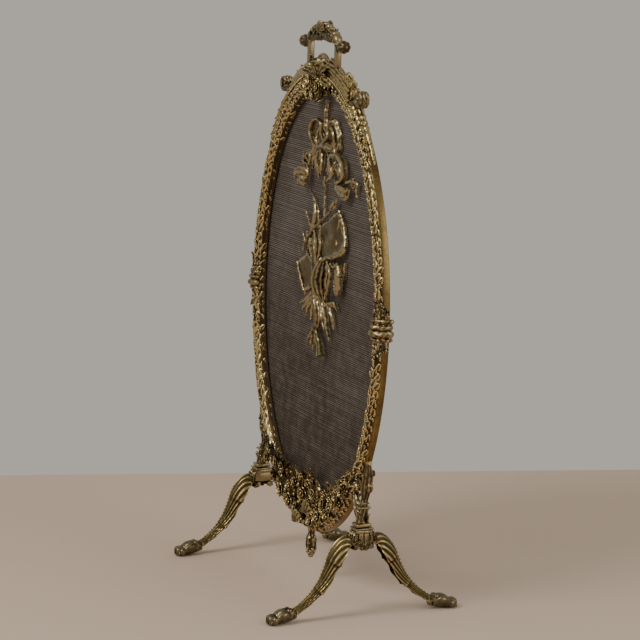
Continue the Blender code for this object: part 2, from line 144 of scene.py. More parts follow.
# %% Mesh helpers
def shape_grid(work, columns, rows, place, weld=True):
    """Add a grid and move its vertices to place(u, v), with u and v from 0 to 1."""
    made = bmesh.ops.create_grid(work, x_segments=columns, y_segments=rows, size=0.5)
    for vertex in made["verts"]:
        vertex.co = place(vertex.co.x + 0.5, vertex.co.y + 0.5)
    if weld:
        bmesh.ops.remove_doubles(work, verts=made["verts"], dist=0.00001)
    return [vertex for vertex in made["verts"] if vertex.is_valid]


def thicken(work, thickness):
    """Turn open sheets into closed walls; a negative thickness grows inwards."""
    bmesh.ops.recalc_face_normals(work, faces=work.faces)
    work.normal_update()
    # An inward wall is marked "inner"; store_relief gives it the darkest hollow colour, painted shade inside
    # the casting.
    inner = work.verts.layers.float.get("inner") or work.verts.layers.float.new("inner")
    made = bmesh.ops.extrude_face_region(work, geom=work.faces[:], use_keep_orig=True)
    for item in made["geom"]:
        if isinstance(item, bmesh.types.BMVert):
            item.co += item.normal * thickness
            item[inner] = 1.0 if thickness < 0 else 0.0


def to_mesh(work, name):
    bmesh.ops.recalc_face_normals(work, faces=work.faces)
    mesh = bpy.data.meshes.new(name)
    work.to_mesh(mesh)
    work.free()
    return mesh


def stamp(work, motif, matrix):
    """Add a copy of a motif's mesh at a place."""
    copy = motif.copy()
    copy.transform(matrix)
    work.from_mesh(copy)
    bpy.data.meshes.remove(copy)


def smooth_path(points, count):
    """Evenly numbered points on a Catmull-Rom curve through the given ones, any dimension."""
    route = [Vector(point) for point in points]
    ends = [route[0] * 2 - route[1]] + route + [route[-1] * 2 - route[-2]]
    result = []
    for index in range(count):
        t = index / (count - 1) * (len(route) - 1)
        start = min(int(t), len(route) - 2)
        t -= start
        before, here, there, after = ends[start:start + 4]
        result.append(0.5 * ((2 * here) + (there - before) * t
                             + (2 * before - 5 * here + 4 * there - after) * t * t
                             + (3 * here - before - 3 * there + after) * t ** 3))
    return result


def path_frames(points, side_hint=Vector((0, -1, 0))):
    """For each point: the point, its direction, and two directions across it."""
    frames = []
    for index, point in enumerate(points):
        before = points[max(0, index - 1)]
        after = points[min(len(points) - 1, index + 1)]
        along = (after - before).normalized()
        across = along.cross(side_hint)
        across = across.normalized() if across.length > 1e-4 else Vector((1, 0, 0))
        frames.append((point, along, across, across.cross(along).normalized()))
    return frames


def tube(work, points, radii, around=10, samples=24, flutes=0, depth=0.0, flat=1.0,
         hint=Vector((0, -1, 0))):
    """A closed rounded bar along a smooth path; radii follow the points; flutes groove it."""
    radii = list(radii) if isinstance(radii, (list, tuple)) else [radii] * len(points)
    dense = smooth_path([(*point, radius) for point, radius in
                         zip([tuple(p) for p in points], radii)], samples)
    centres = [Vector(p[:3]) for p in dense]
    frames = path_frames(centres, hint)

    def place(u, v):
        index = min(samples - 1, round(v * (samples - 1)))
        point, _, across, out = frames[index]
        angle = 2 * math.pi * u
        radius = max(0.0001, dense[index][3])
        if flutes:
            radius *= 1 - depth * (0.5 - 0.5 * math.cos(flutes * angle))
        return point + across * (math.cos(angle) * radius) + out * (math.sin(angle) * radius * flat)

    made = shape_grid(work, around, samples - 1, place)
    edges = {edge for vertex in made for edge in vertex.link_edges if edge.is_boundary}
    if edges:
        bmesh.ops.holes_fill(work, edges=list(edges), sides=0)


def bead(work, centre, radius, squash=(1, 1, 1), detail=1):
    made = bmesh.ops.create_icosphere(work, subdivisions=detail, radius=radius)
    place = Matrix.Translation(centre) @ Matrix.Diagonal((*squash, 1))
    bmesh.ops.transform(work, matrix=place, verts=made["verts"])


# %% [markdown]
# ## Telling hollows from high points
#
# Old gilding is bright where hands and cloths rub it and dark where dust and wax settle,
# and the same colouring also carries painted shade in the hollows and a painted highlight on
# the high points. A shader can't know that by itself once the pieces are exported, so each mesh
# stores one number per vertex: how far it stands out from its neighbours. The number is then
# shared out a little between neighbours, and the material reads it as an attribute.

# %% Store the relief of a mesh as an attribute
def store_relief(mesh, base=0.5, gain=1.0, rounds=3):
    """Write the attribute "relief": 0 in hollows (dark wax and painted shade), 1 on high points (rubbed gold
    and painted highlight), base on plain ground.
    """
    count = len(mesh.vertices)
    points = np.empty(count * 3)
    mesh.vertices.foreach_get("co", points)
    points = points.reshape(-1, 3)
    normals = np.empty(count * 3)
    mesh.vertices.foreach_get("normal", normals)
    normals = normals.reshape(-1, 3)
    ends = np.empty(len(mesh.edges) * 2, dtype=np.int64)
    mesh.edges.foreach_get("vertices", ends)
    first, second = ends.reshape(-1, 2).T
    degree = np.maximum(1, np.bincount(np.concatenate([first, second]), minlength=count))

    def neighbours(values):
        total = np.zeros_like(values)
        np.add.at(total, first, values[second])
        np.add.at(total, second, values[first])
        return total / (degree[:, None] if values.ndim > 1 else degree)

    length = np.linalg.norm(points[first] - points[second], axis=1)
    spacing = np.zeros(count)
    np.add.at(spacing, first, length)
    np.add.at(spacing, second, length)
    spacing = np.maximum(1e-6, spacing / degree)
    bulge = ((points - neighbours(points)) * normals).sum(axis=1) / spacing
    for _ in range(rounds):
        bulge = 0.5 * bulge + 0.5 * neighbours(bulge)
    relief = np.clip(base + gain * bulge * 1.6, 0.0, 1.0)
    # Inner walls of hollow castings are set to 0, the darkest hollow colour: painted shade inside the
    # casting.
    inside = mesh.attributes.get("inner")
    if inside:
        hidden = np.empty(count)
        inside.data.foreach_get("value", hidden)
        relief = relief * (1 - hidden)
    layer = mesh.attributes.get("relief") or mesh.attributes.new("relief", "FLOAT", "POINT")
    layer.data.foreach_set("value", relief.astype(np.float32))


# %% [markdown]
# ## Writing materials as expressions
#
# A shader is a formula, so it reads best as one. The class below wraps a node's output
# and turns +, - and * between outputs into Math nodes. Colours are mixed with Mix nodes,
# because a Math node would turn them grey. Every other node comes from one method.

# %% A small language for shaders
class Value:
    """A number that varies over the surface: an output socket of some node."""

    def __init__(self, graph, socket):
        self.graph = graph
        self.socket = socket

    def _math(self, operation, *others, clamp=False):
        return self.graph.node("ShaderNodeMath", {"operation": operation, "use_clamp": clamp},
                               [self, *others])

    def __add__(self, other):
        return self._math("ADD", other)

    def __radd__(self, other):
        return self._math("ADD", other)

    def __sub__(self, other):
        return self._math("SUBTRACT", other)

    def __rsub__(self, other):
        return self.graph.node("ShaderNodeMath", {"operation": "SUBTRACT"}, [other, self])

    def __mul__(self, other):
        return self._math("MULTIPLY", other)

    def clamp(self):
        return self._math("ADD", 0.0, clamp=True)

    def smooth(self, low, high):
        """0 below low, 1 above high, and an S-curve between."""
        return self.graph.node("ShaderNodeMapRange", {"interpolation_type": "SMOOTHSTEP"},
                               {"Value": self, "From Min": low, "From Max": high})


class Graph:
    """The node tree of one new material."""

    def __init__(self, name):
        self.material = bpy.data.materials.new(name)
        self.material.use_nodes = True
        self.tree = self.material.node_tree
        self.shader = self.tree.nodes["Principled BSDF"]

    def node(self, kind, settings=None, inputs=None, output=0):
        made = self.tree.nodes.new(kind)
        for key, value in (settings or {}).items():
            setattr(made, key, value)
        pairs = inputs.items() if isinstance(inputs, dict) else enumerate(inputs or [])
        for key, value in pairs:
            if isinstance(value, Value):
                self.tree.links.new(value.socket, made.inputs[key])
            else:
                made.inputs[key].default_value = value
        return Value(self, made.outputs[output])

    def place(self):
        return self.node("ShaderNodeTexCoord", output="Object")

    def attribute(self, name):
        return self.node("ShaderNodeAttribute", {"attribute_name": name}, output="Fac")

    def noise(self, scale, detail=3.0, roughness=0.55, where=None):
        return self.node("ShaderNodeTexNoise", {}, {
            "Vector": where or self.place(), "Scale": scale, "Detail": detail,
            "Roughness": roughness}, "Fac")

    def mix(self, factor, first, second):
        """Blend two colours; a plain tuple is a colour too."""
        made = self.tree.nodes.new("ShaderNodeMix")
        made.data_type = "RGBA"
        for key, value in ((0, factor), (6, first), (7, second)):
            if isinstance(value, Value):
                self.tree.links.new(value.socket, made.inputs[key])
            elif isinstance(value, tuple):
                made.inputs[key].default_value = (*value, 1.0)
            else:
                made.inputs[key].default_value = value
        return Value(self, made.outputs[2])

    def bump(self, height, strength, distance=0.001):
        return self.node("ShaderNodeBump", {}, {"Height": height, "Strength": strength,
                                                "Distance": distance})

    def feed(self, socket, value):
        if isinstance(value, Value):
            self.tree.links.new(value.socket, self.shader.inputs[socket])
        elif isinstance(value, tuple):
            self.shader.inputs[socket].default_value = (*value, 1.0)
        else:
            self.shader.inputs[socket].default_value = value


# %% [markdown]
# ## Aged gilt brass
#
# The castings were gilded or lacquered once. What is left is a warm olive brown ground,
# nearly black wax in the hollows, deepened by painted shade, and pale gold on the high points,
# rubbed bright and lifted by a painted highlight, all broken up by blotches a few centimetres
# wide and by a fine grain from the sand mould. The same recipe serves the ring, the ornaments
# and the legs, with other colours for each.

# %% The brass recipe
def aged_brass(name, hollow, ground, high, rough=0.42, wax_and_shade=0.5, grain=0.5, metallic=1.0):
    graph = Graph(name)
    relief = graph.attribute("relief")
    blotch = graph.noise(26.0, 3.0, 0.6)
    speck = graph.noise(420.0, 3.0, 0.6)
    fine = graph.noise(1500.0, 2.0, 0.5)
    height = relief + (speck - 0.5) * 0.3 + (blotch - 0.5) * 0.22
    # The hollows go to the hollow colour, dark wax and painted shade, and the high points to the high colour,
    # rubbed gilding and a painted highlight.
    in_hollow = 1 - height.smooth(0.12, 0.5)
    on_top = height.smooth(0.56, 0.86)
    patina = graph.mix(blotch.smooth(0.38, 0.66), tuple(0.72 * c for c in ground), ground)
    colour = graph.mix(on_top, patina, high)
    # This factor sets how dark the hollows are painted: wax and painted shade together.
    colour = graph.mix((in_hollow * (0.55 + wax_and_shade)).clamp(), colour, hollow)
    graph.feed("Base Color", colour)
    graph.feed("Metallic", (metallic - in_hollow * 0.55).clamp())
    graph.feed("Roughness", (rough + in_hollow * 0.28 - on_top * 0.12 + (speck - 0.5) * 0.22).clamp())
    graph.feed("Normal", graph.bump(speck * 0.7 + fine * 0.3, 0.35 * grain, 0.0012))
    return graph.material


GILT = aged_brass("gilt_leafwork", (0.012, 0.008, 0.004), (0.14, 0.098, 0.04), (0.6, 0.475, 0.235))
ANTIQUE = aged_brass("antique_leafwork", (0.013, 0.01, 0.006), (0.125, 0.094, 0.042), (0.46, 0.362, 0.175))
GILT_DEEP = aged_brass("gilt_ground", (0.014, 0.009, 0.005), (0.078, 0.05, 0.02), (0.33, 0.235, 0.1),
                       rough=0.46)
# The rubbed rim gets lighter hollows: less wax and less painted shade.
RIM = aged_brass("rubbed_rim", (0.05, 0.03, 0.012), (0.178, 0.113, 0.038), (0.38, 0.27, 0.11), rough=0.36,
                 wax_and_shade=0.2, grain=0.3)
OLIVE = aged_brass("olive_leg_brass", (0.014, 0.01, 0.006), (0.145, 0.108, 0.046), (0.54, 0.415, 0.185),
                   rough=0.42)
BROWN_BRASS = aged_brass("brown_brass", (0.013, 0.01, 0.006), (0.094, 0.071, 0.036), (0.34, 0.27, 0.145),
                           rough=0.46)


def sooty_wire(name, dark, light, grey_tone):
    """Wire cloth: brown-black wire, greyer towards the top of the panel and in dusty blotches."""
    graph = Graph(name)
    where = graph.place()
    dust = graph.noise(9.0, 4.0, 0.6, where)
    streak = graph.noise(60.0, 3.0, 0.55, where)
    height = graph.node("ShaderNodeSeparateXYZ", {}, [where], "Z")
    greyer = (height.smooth(0.15, 0.62) * 0.55 + (dust - 0.5) * 1.1).clamp()
    wire = graph.mix(streak.smooth(0.35, 0.7), dark, light)
    graph.feed("Base Color", graph.mix(greyer, wire, grey_tone))
    graph.feed("Metallic", 0.35)
    graph.feed("Roughness", 0.62 + (streak - 0.5) * 0.2)
    return graph.material


# The two layers are lit and shaded copies of one wire: the wires across are paler, a painted highlight, and
# the upright ones darker, painted shade.
WIRE = sooty_wire("sooty_wire", (0.046, 0.032, 0.024), (0.078, 0.058, 0.045), (0.125, 0.105, 0.094))
WIRE_HIGHLIT = sooty_wire("highlit_wire", (0.105, 0.08, 0.062), (0.19, 0.153, 0.122), (0.3, 0.27, 0.245))


# %% [markdown]
# ## Adding a finished piece
#
# Each piece is one object at the origin, with its place in its mesh, riding on the one
# body of this screen. It hides the CAD nodes it replaces and takes its material.

# %% Piece helper
def add_piece(name, mesh, material, replaces=(), slot="gilt_brass", on_panel=True,
              base=0.5, gain=1.0, rounds=2, sharp=50.0, uneven=0.0, worn=0):
    """Finish a mesh and add it: worn rounds its tips off, uneven is how far the casting wanders."""
    if worn:
        work = bmesh.new()
        work.from_mesh(mesh)
        for _ in range(worn):
            bmesh.ops.smooth_vert(work, verts=work.verts, factor=0.5, use_axis_x=True, use_axis_y=True,
                                  use_axis_z=True)
        work.to_mesh(mesh)
        work.free()
    if uneven:
        normals = [vertex.normal.copy() for vertex in mesh.vertices]
        for vertex, normal in zip(mesh.vertices, normals):
            where = vertex.co * 210.0
            wander = noise.noise(where) + 0.5 * noise.noise(where * 2.3)
            vertex.co += normal * (uneven * wander) + noise.noise_vector(where * 0.5) * (uneven * 0.7)
    if on_panel:
        mesh.transform(TO_WORLD)
    if mesh.attributes.get("relief") is None:
        store_relief(mesh, base, gain, rounds)
    mesh.materials.append(material)
    mesh.shade_smooth()
    mesh.set_sharp_from_angle(angle=math.radians(sharp))
    piece = bpy.data.objects.new(name, mesh)
    bpy.context.scene.collection.objects.link(piece)
    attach(piece, "root")
    if replaces:
        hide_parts(*replaces)
    print(name, len(mesh.polygons), "faces")
    return piece


# %% [markdown]
# ## The oval ring
#
# The ring is a constant section carried round the oval: a smooth rubbed rim at the side,
# a raised moulding in front that the laurel grows on, and a narrow bead by the cloth. The
# section follows the oval's true normal, because scaling a round ring would thin its sides.

# %% Walk along the oval
ROUND = 2 * math.pi


def oval_point(angle, inset=0.0, front=0.0):
    """A point at an angle on the oval, so far inwards from its edge, so far to the front."""
    cosine, sine = math.cos(angle), math.sin(angle)
    normal = Vector((cosine / OVAL_A, 0.0, sine / OVAL_B)).normalized()
    edge = Vector((OVAL_A * cosine, -front, OVAL_Z + OVAL_B * sine))
    return edge - normal * inset


def oval_axes(angle):
    """Outward and along (counter-clockwise seen from the front) directions at an angle."""
    outward = Vector((math.cos(angle) / OVAL_A, 0.0, math.sin(angle) / OVAL_B)).normalized()
    return outward, Vector((-outward.z, 0.0, outward.x))


def even_angles(count, start=0.0, end=ROUND):
    """Angles whose points are evenly spaced along the oval's edge."""
    fine = [start + (end - start) * index / 2000 for index in range(2001)]
    length = [0.0]
    for first, second in zip(fine, fine[1:]):
        length.append(length[-1] + (oval_point(second) - oval_point(first)).length)
    goals = [length[-1] * index / count for index in range(count + 1)]
    return [float(angle) for angle in np.interp(goals, length, fine)]


perimeter = sum((oval_point(b) - oval_point(a)).length
                for a, b in zip(even_angles(400), even_angles(400)[1:]))
print("edge of the oval is", round(perimeter, 3), "m round")

# %% Ring body
# Section as (inset from the outer edge, height in front of the panel plane).
SECTION = [(0.0, -0.004), (0.0, 0.003), (0.0006, 0.0046), (0.0022, 0.0056),
           (0.004, 0.0082), (0.0075, 0.0108), (0.012, 0.0116), (0.016, 0.0106),
           (0.0192, 0.0076), (0.0212, 0.005), (0.0222, 0.0058), (0.0238, 0.0064),
           (0.0252, 0.0052), (0.0258, 0.003), (0.0262, 0.001), (0.0262, -0.0018),
           (0.0112, -0.0018), (0.0106, -0.0049), (0.001, -0.0049)]


RING_STEPS = 300
# How bright each corner of the section is painted: 0 is a dark hollow, dark wax with painted shade under the
# leaves and on the inner wall by the cloth, 1 a rubbed edge with a painted highlight.
SECTION_SHADE_AND_WEAR = (0.62, 0.66, 0.6, 0.2, 0.1, 0.14, 0.2, 0.14, 0.08, 0.05,
                  0.45, 0.7, 0.5, 0.12, 0.08, 0.05, 0.3, 0.4, 0.5)


def build_ring():
    work = bmesh.new()
    angles = even_angles(RING_STEPS)
    count = len(SECTION)

    def place(u, v):
        inset, front = SECTION[round(u * count) % count]
        return oval_point(angles[round(v * RING_STEPS) % RING_STEPS], inset, front)

    shape_grid(work, count, RING_STEPS, place)
    mesh = to_mesh(work, "ring_body")
    layer = mesh.attributes.new("relief", "FLOAT", "POINT")
    for vertex in mesh.vertices:
        front = -vertex.co.y
        inset = oval_inset(vertex.co)
        key = min(range(count), key=lambda i: abs(SECTION[i][0] - inset) + abs(SECTION[i][1] - front))
        layer.data[vertex.index].value = SECTION_SHADE_AND_WEAR[key]
    return mesh


def oval_inset(point):
    """Roughly how far inside the oval's edge a point is."""
    radial = Vector((point.x / OVAL_A, (point.z - OVAL_Z) / OVAL_B))
    gradient = Vector((radial.x / OVAL_A, radial.y / OVAL_B)).length
    return (1 - radial.length_squared) / (2 * max(gradient, 1e-6))


add_piece("ring_body", build_ring(), RIM, ["oval_frame"], "ring_brass", sharp=35)

# %% [markdown]
# ## Laurel on the ring
#
# Overlapping leaves climb both sides of the moulding from the foot to the crest, with
# berries between them. One leaf and one berry of a few dozen faces are stamped hundreds of
# times, each a little different in size and turn, as hand-chased wax would be.

# %% Laurel leaf motif
def leaf_motif():
    """A pointed convex leaf along +Y with a sunk midrib, about 1 long, 0.62 wide."""
    work = bmesh.new()
    bmesh.ops.create_uvsphere(work, u_segments=10, v_segments=7, radius=0.5)
    bmesh.ops.rotate(work, verts=work.verts, matrix=Matrix.Rotation(math.radians(90), 3, "X"))
    for vertex in work.verts:
        x, y, z = vertex.co
        along = y + 0.5
        x *= 1.25 * (1.0 - 0.35 * along)
        z *= 0.44
        if z > 0 and abs(x) < 0.06:
            z -= 0.07
        vertex.co = (x, y, z + 0.16 * along * along)
    return to_mesh(work, "leaf_motif")


LEAF_UNITS = 70
LEAF_SIZE = (0.0088, 0.015, 0.0084)
GROUND_SKIN = 0.0003
# (inset, front, outward tilt, turn from the ring's direction, shift along it, size)
LEAF_ROWS = ((0.0118, 0.0118, 0, 0, 0.0, 1.1), (0.0072, 0.011, 26, -36, 0.006, 1.0),
             (0.016, 0.0108, -26, 36, 0.006, 1.0), (0.004, 0.0084, 50, -14, 0.0, 0.85),
             (0.0196, 0.0086, -48, 10, 0.001, 1.05), (0.0228, 0.0066, -62, -24, 0.007, 0.95),
             (0.0246, 0.0048, -74, 24, 0.001, 0.7))
# (inset, front, shift along the ring, radius)
BERRY_ROWS = ((0.003, 0.0078, 0.005, 0.0017), (0.0206, 0.0086, 0.008, 0.0021), (0.0098, 0.013, 0.009, 0.0018),
              (0.014, 0.0128, 0.01, 0.0019), (0.024, 0.0052, 0.003, 0.0018))


def build_laurel():
    pick = random.Random(11)
    leaf = leaf_motif()
    leaves, berries = bmesh.new(), bmesh.new()
    for side in (1, -1):
        for angle in even_angles(LEAF_UNITS, math.radians(-88), math.radians(88))[:-1]:
            here = angle if side > 0 else math.pi - angle
            outward, along = oval_axes(here)
            along = along * side
            for inset, front, tilt, turn, shift, size in LEAF_ROWS:
                tip = math.radians(tilt + pick.uniform(-12, 12))
                normal = Vector((0, -1, 0)) * math.cos(tip) + outward * math.sin(tip)
                sideways = outward * math.cos(tip) - Vector((0, -1, 0)) * math.sin(tip)
                turned = math.radians(-turn + pick.uniform(-20, 20))
                heading = (along + sideways * math.tan(turned)
                           + normal * pick.uniform(-0.06, 0.2)).normalized()
                raised = (normal - heading * normal.dot(heading)).normalized()
                scale = size * pick.uniform(0.72, 1.22)
                centre = (oval_point(here, inset + pick.uniform(-0.0008, 0.0008), front - 0.0016)
                          + along * (shift + pick.uniform(-0.0014, 0.0014)))
                wide, long, thick = (scale * value for value in LEAF_SIZE)
                basis = Matrix((heading.cross(raised) * wide, heading * long,
                                raised * thick)).transposed().to_4x4()
                stamp(leaves, leaf, Matrix.Translation(centre) @ basis)
            for inset, front, shift, radius in BERRY_ROWS:
                centre = (oval_point(here, inset, front - 0.0012)
                          + along * (shift + pick.uniform(-0.0012, 0.0012)))
                bead(berries, centre, radius * pick.uniform(0.75, 1.2))
    add_piece("laurel_leaves", to_mesh(leaves, "laurel_leaves"), GILT, ["laurel_left", "laurel_right"],
              "ring_brass", base=0.34, gain=2.2, rounds=1)
    add_piece("laurel_berries", to_mesh(berries, "laurel_berries"), GILT, ["laurel_left", "laurel_right"],
              "ring_brass", base=0.5, gain=0.4, rounds=1)


def build_ring_ground():
    """A dark skin over the front of the ring, which the leafwork stands on: painted shade that shows in the
    gaps between the leaves.
    """
    strip = SECTION[3:14]
    angles = even_angles(RING_STEPS)
    work = bmesh.new()

    def place(u, v):
        inset, front = strip[round(u * (len(strip) - 1))]
        return oval_point(angles[round(v * RING_STEPS) % RING_STEPS], inset, front + GROUND_SKIN)

    shape_grid(work, len(strip) - 1, RING_STEPS, place)
    thicken(work, GROUND_SKIN)
    add_piece("ring_ground", to_mesh(work, "ring_ground"), GILT_DEEP, ["oval_frame"], "ring_brass",
              base=0.25, gain=0.8)


build_ring_ground()
build_laurel()


# %% [markdown]
# ## Wire cloth
#
# Straight wires in two layers read as woven cloth at this size. Bending each one over and
# under its neighbours would take over half a million faces, so each wire is a five-sided
# prism cut to the length of the oval's chord at its place.

# %% Wires
WIRE_PITCH = 0.0028
WIRE_RADIUS = 0.00052


def build_wires(name, vertical, layer_y, material):
    pick = random.Random(5)
    work = bmesh.new()
    reach_a, reach_b = OVAL_A - 0.012, OVAL_B - 0.012
    span = reach_a if vertical else reach_b
    other = reach_b if vertical else reach_a
    for index in range(-int(span / WIRE_PITCH), int(span / WIRE_PITCH) + 1):
        offset = index * WIRE_PITCH
        half = other * math.sqrt(max(0.0, 1 - (offset / span) ** 2))
        if half < 0.004:
            continue
        thick = WIRE_RADIUS * (1.12 if vertical else pick.uniform(0.6, 1.3))
        made = bmesh.ops.create_cone(work, segments=5, radius1=thick, radius2=thick, depth=2 * half,
                                     cap_ends=True)
        offset += 0.0 if vertical else pick.uniform(-0.00045, 0.00045)
        turn = Matrix() if vertical else Matrix.Rotation(math.radians(90), 4, "Y")
        where = (offset, layer_y, OVAL_Z) if vertical else (0.0, layer_y, OVAL_Z + offset)
        bmesh.ops.transform(work, matrix=Matrix.Translation(where) @ turn, verts=made["verts"])
    add_piece(name, to_mesh(work, name), material, ["wire_mesh"], "wire_cloth", base=0.5, gain=0.0)


# Upright wires take the darker copy, painted shade; the wires across take the paler copy, a painted
# highlight.
build_wires("wires_upright", True, CLOTH_Y + 0.0004, WIRE)
build_wires("wires_across", False, CLOTH_Y - 0.0006, WIRE_HIGHLIT)


# %% [markdown]
# ## Motifs: acanthus leaf, flower, shell and scroll
#
# The founder's whole vocabulary. Each motif is drawn once or twice in its own small
# coordinates, growing along +Y and facing +Z, and is then stamped where it belongs.
# A leaf is a grid: its outline is scalloped by one formula, its flutes are pressed in by
# another, and it is bent along its length like paper over a pencil.

# %% Acanthus leaf
def acanthus(length, width, lobes=4, curl=0.6, cup=0.25, flute=0.05, thickness=0.0011,
             columns=20, rows=30, start=0.32):
    """A lobed leaf along +Y; its tip has curled towards +Z, and each lobe sweeps forwards."""
    bend = []
    along = rise = 0.0
    for index in range(rows + 1):
        bend.append((along, rise))
        angle = curl * ((index + 0.5) / rows) ** 2.2 * 1.9 - 0.1
        along += length / rows * math.cos(angle)
        rise += length / rows * math.sin(angle)

    def place(u, v):
        side = 2 * u - 1
        reach = abs(side)
        envelope = (start + (1 - start) * math.sin(math.pi * v ** 0.8)) * (1 - 0.72 * v ** 5)
        wave = abs(math.sin(lobes * math.pi * v)) ** 0.6
        outline = 1 - 0.4 * (1 - wave) * reach ** 2
        x = side * width / 2 * envelope * outline
        y, z = bend[round(v * rows)]
        y += 0.3 * width * reach ** 1.6 * envelope * (1 - v)
        z += -cup * width * side * side * envelope * (1 - 0.7 * v)
        z += width * flute * math.cos(4 * math.pi * side) * (1 - v) ** 0.5
        z += width * 0.07 * max(0.0, 1 - reach * 5) - width * 0.09 * (1 - wave) * reach
        return Vector((x, y, z))

    work = bmesh.new()
    shape_grid(work, columns, rows, place, weld=False)
    thicken(work, thickness)
    return to_mesh(work, "acanthus")


def flower(petals, radius, height, layers=2):
    """A rosette facing +Z: rings of hollowed petals round a small berry."""
    work = bmesh.new()
    for layer in range(layers):
        size = radius * (1 - 0.38 * layer)
        lift = height * 0.45 * layer
        turn = math.pi / petals * layer

        def place(u, v, size=size, lift=lift, turn=turn):
            angle = 2 * math.pi * u + turn
            lobe = abs(math.cos(petals * angle / 2)) ** 0.6
            reach = size * v * (0.62 + 0.38 * lobe)
            dish = height * (0.3 + 0.9 * v * v * (0.4 + 0.6 * lobe) - 0.35 * lobe * (1 - abs(2 * v - 1)))
            return Vector((reach * math.cos(angle - turn), reach * math.sin(angle - turn), lift + dish))

        shape_grid(work, petals * 6, 6, place)
    thicken(work, radius * 0.09)
    bead(work, (0, 0, height * (0.45 * layers + 0.3)), radius * 0.26, detail=2)
    return to_mesh(work, "flower")


def shell_fan(radius, ribs, spread, height, thickness=0.0012):
    """A scallop shell growing along +Y from its hinge, ribbed and domed towards +Z."""
    work = bmesh.new()

    def place(u, v):
        angle = (u - 0.5) * spread
        rib = 0.5 + 0.5 * math.cos(ribs * 2 * math.pi * u)
        reach = radius * (0.1 + 0.9 * v) * (1 - 0.09 * (1 - rib) * v)
        dome = height * math.sin(math.pi * (0.15 + 0.75 * v)) + height * 0.3 * rib * v
        return Vector((reach * math.sin(angle), reach * math.cos(angle), dome))

    shape_grid(work, ribs * 6, 12, place)
    thicken(work, thickness)
    return to_mesh(work, "shell_fan")


def spiral(centre, outer, inner, turns, start, front=0.0, clockwise=False):
    """Points of a spiral in the panel's plane, from its outside to its eye."""
    points = []
    steps = max(6, int(turns * 10))
    for index in range(steps + 1):
        share = index / steps
        angle = start + (-1 if clockwise else 1) * turns * 2 * math.pi * share
        radius = outer * (1 - share) ** 0.85 + inner * share
        points.append(Vector((centre[0] + radius * math.cos(angle), -front,
                              centre[1] + radius * math.sin(angle))))
    return points


def on_panel(x, z, front, heading=0.0, tip=0.0, roll=0.0, size=1.0, flip=1.0):
    """Place a motif on the panel: it grows to its heading (0 is up, 90 is to +X) and faces front."""
    stand = Matrix.Rotation(math.radians(90), 4, "X")
    return (Matrix.Translation((x, -front, z))
            @ Matrix.Rotation(math.radians(heading), 4, "Y")
            @ stand
            @ Matrix.Rotation(math.radians(tip), 4, "X")
            @ Matrix.Rotation(math.radians(roll), 4, "Y")
            @ Matrix.Diagonal((size * flip, size, size, 1.0)))


LEAF_BROAD = acanthus(0.034, 0.026, lobes=4, curl=0.75)
LEAF_LOW = acanthus(0.032, 0.025, lobes=4, curl=0.34, columns=12, rows=18)
LEAF_FLAT = acanthus(0.032, 0.025, lobes=4, curl=0.34)
LEAF_SMALL = acanthus(0.018, 0.013, lobes=3, curl=0.8, columns=12, rows=16, thickness=0.0009)
FLOWER = flower(5, 0.0105, 0.005)

# %% [markdown]
# ## Cabriole legs
#
# Each leg is a hollow casting, open underneath. Its outer side carries a ridge with a row
# of beads, its flanks are fluted, and three tiers of leaf end in points on the inner side.
# A grid bent round the leg's own centre line gives the outside, and thicken() the wall.
# The centre line runs from the plate to the paw, and both come from the CAD legs' boxes.

# %% Leg shape
def cad_box(name):
    low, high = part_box(name)
    return Vector(low), Vector(high)


leg_low, leg_high = cad_box("leg_front_right")
LEG_X = (leg_low.x + leg_high.x) / 2
PAW_TIP = -leg_low.y
LEG_ROOT = -leg_high.y
print("legs at", round(LEG_X, 4), "reach", round(PAW_TIP, 4))

# (share of the way out to the paw's tip, height, half thickness, half width)
LEG_LINE = [(0.0, 0.1055, 0.0085, 0.0085), (0.05, 0.1035, 0.01, 0.01), (0.1, 0.0975, 0.0112, 0.0112),
            (0.165, 0.085, 0.0112, 0.0115), (0.235, 0.0685, 0.01, 0.0108), (0.315, 0.0515, 0.0085, 0.0095),
            (0.425, 0.0365, 0.0068, 0.008), (0.545, 0.0245, 0.0056, 0.0068), (0.66, 0.0165, 0.005, 0.0064),
            (0.77, 0.0125, 0.0058, 0.0074)]
TIERS = (0.0, 0.4, 0.64, 0.9)


def tier_flare(share):
    """How far a leaf tier stands out: it swells towards the end of each tier, then drops."""
    for start, end in zip(TIERS, TIERS[1:]):
        if start <= share < end:
            t = (share - start) / (end - start)
            return t ** 2.2 * (1 - max(0.0, t - 0.93) / 0.07)
    return 0.0


LEG_WRAP = math.radians(236)
LEG_WALL = 0.0016


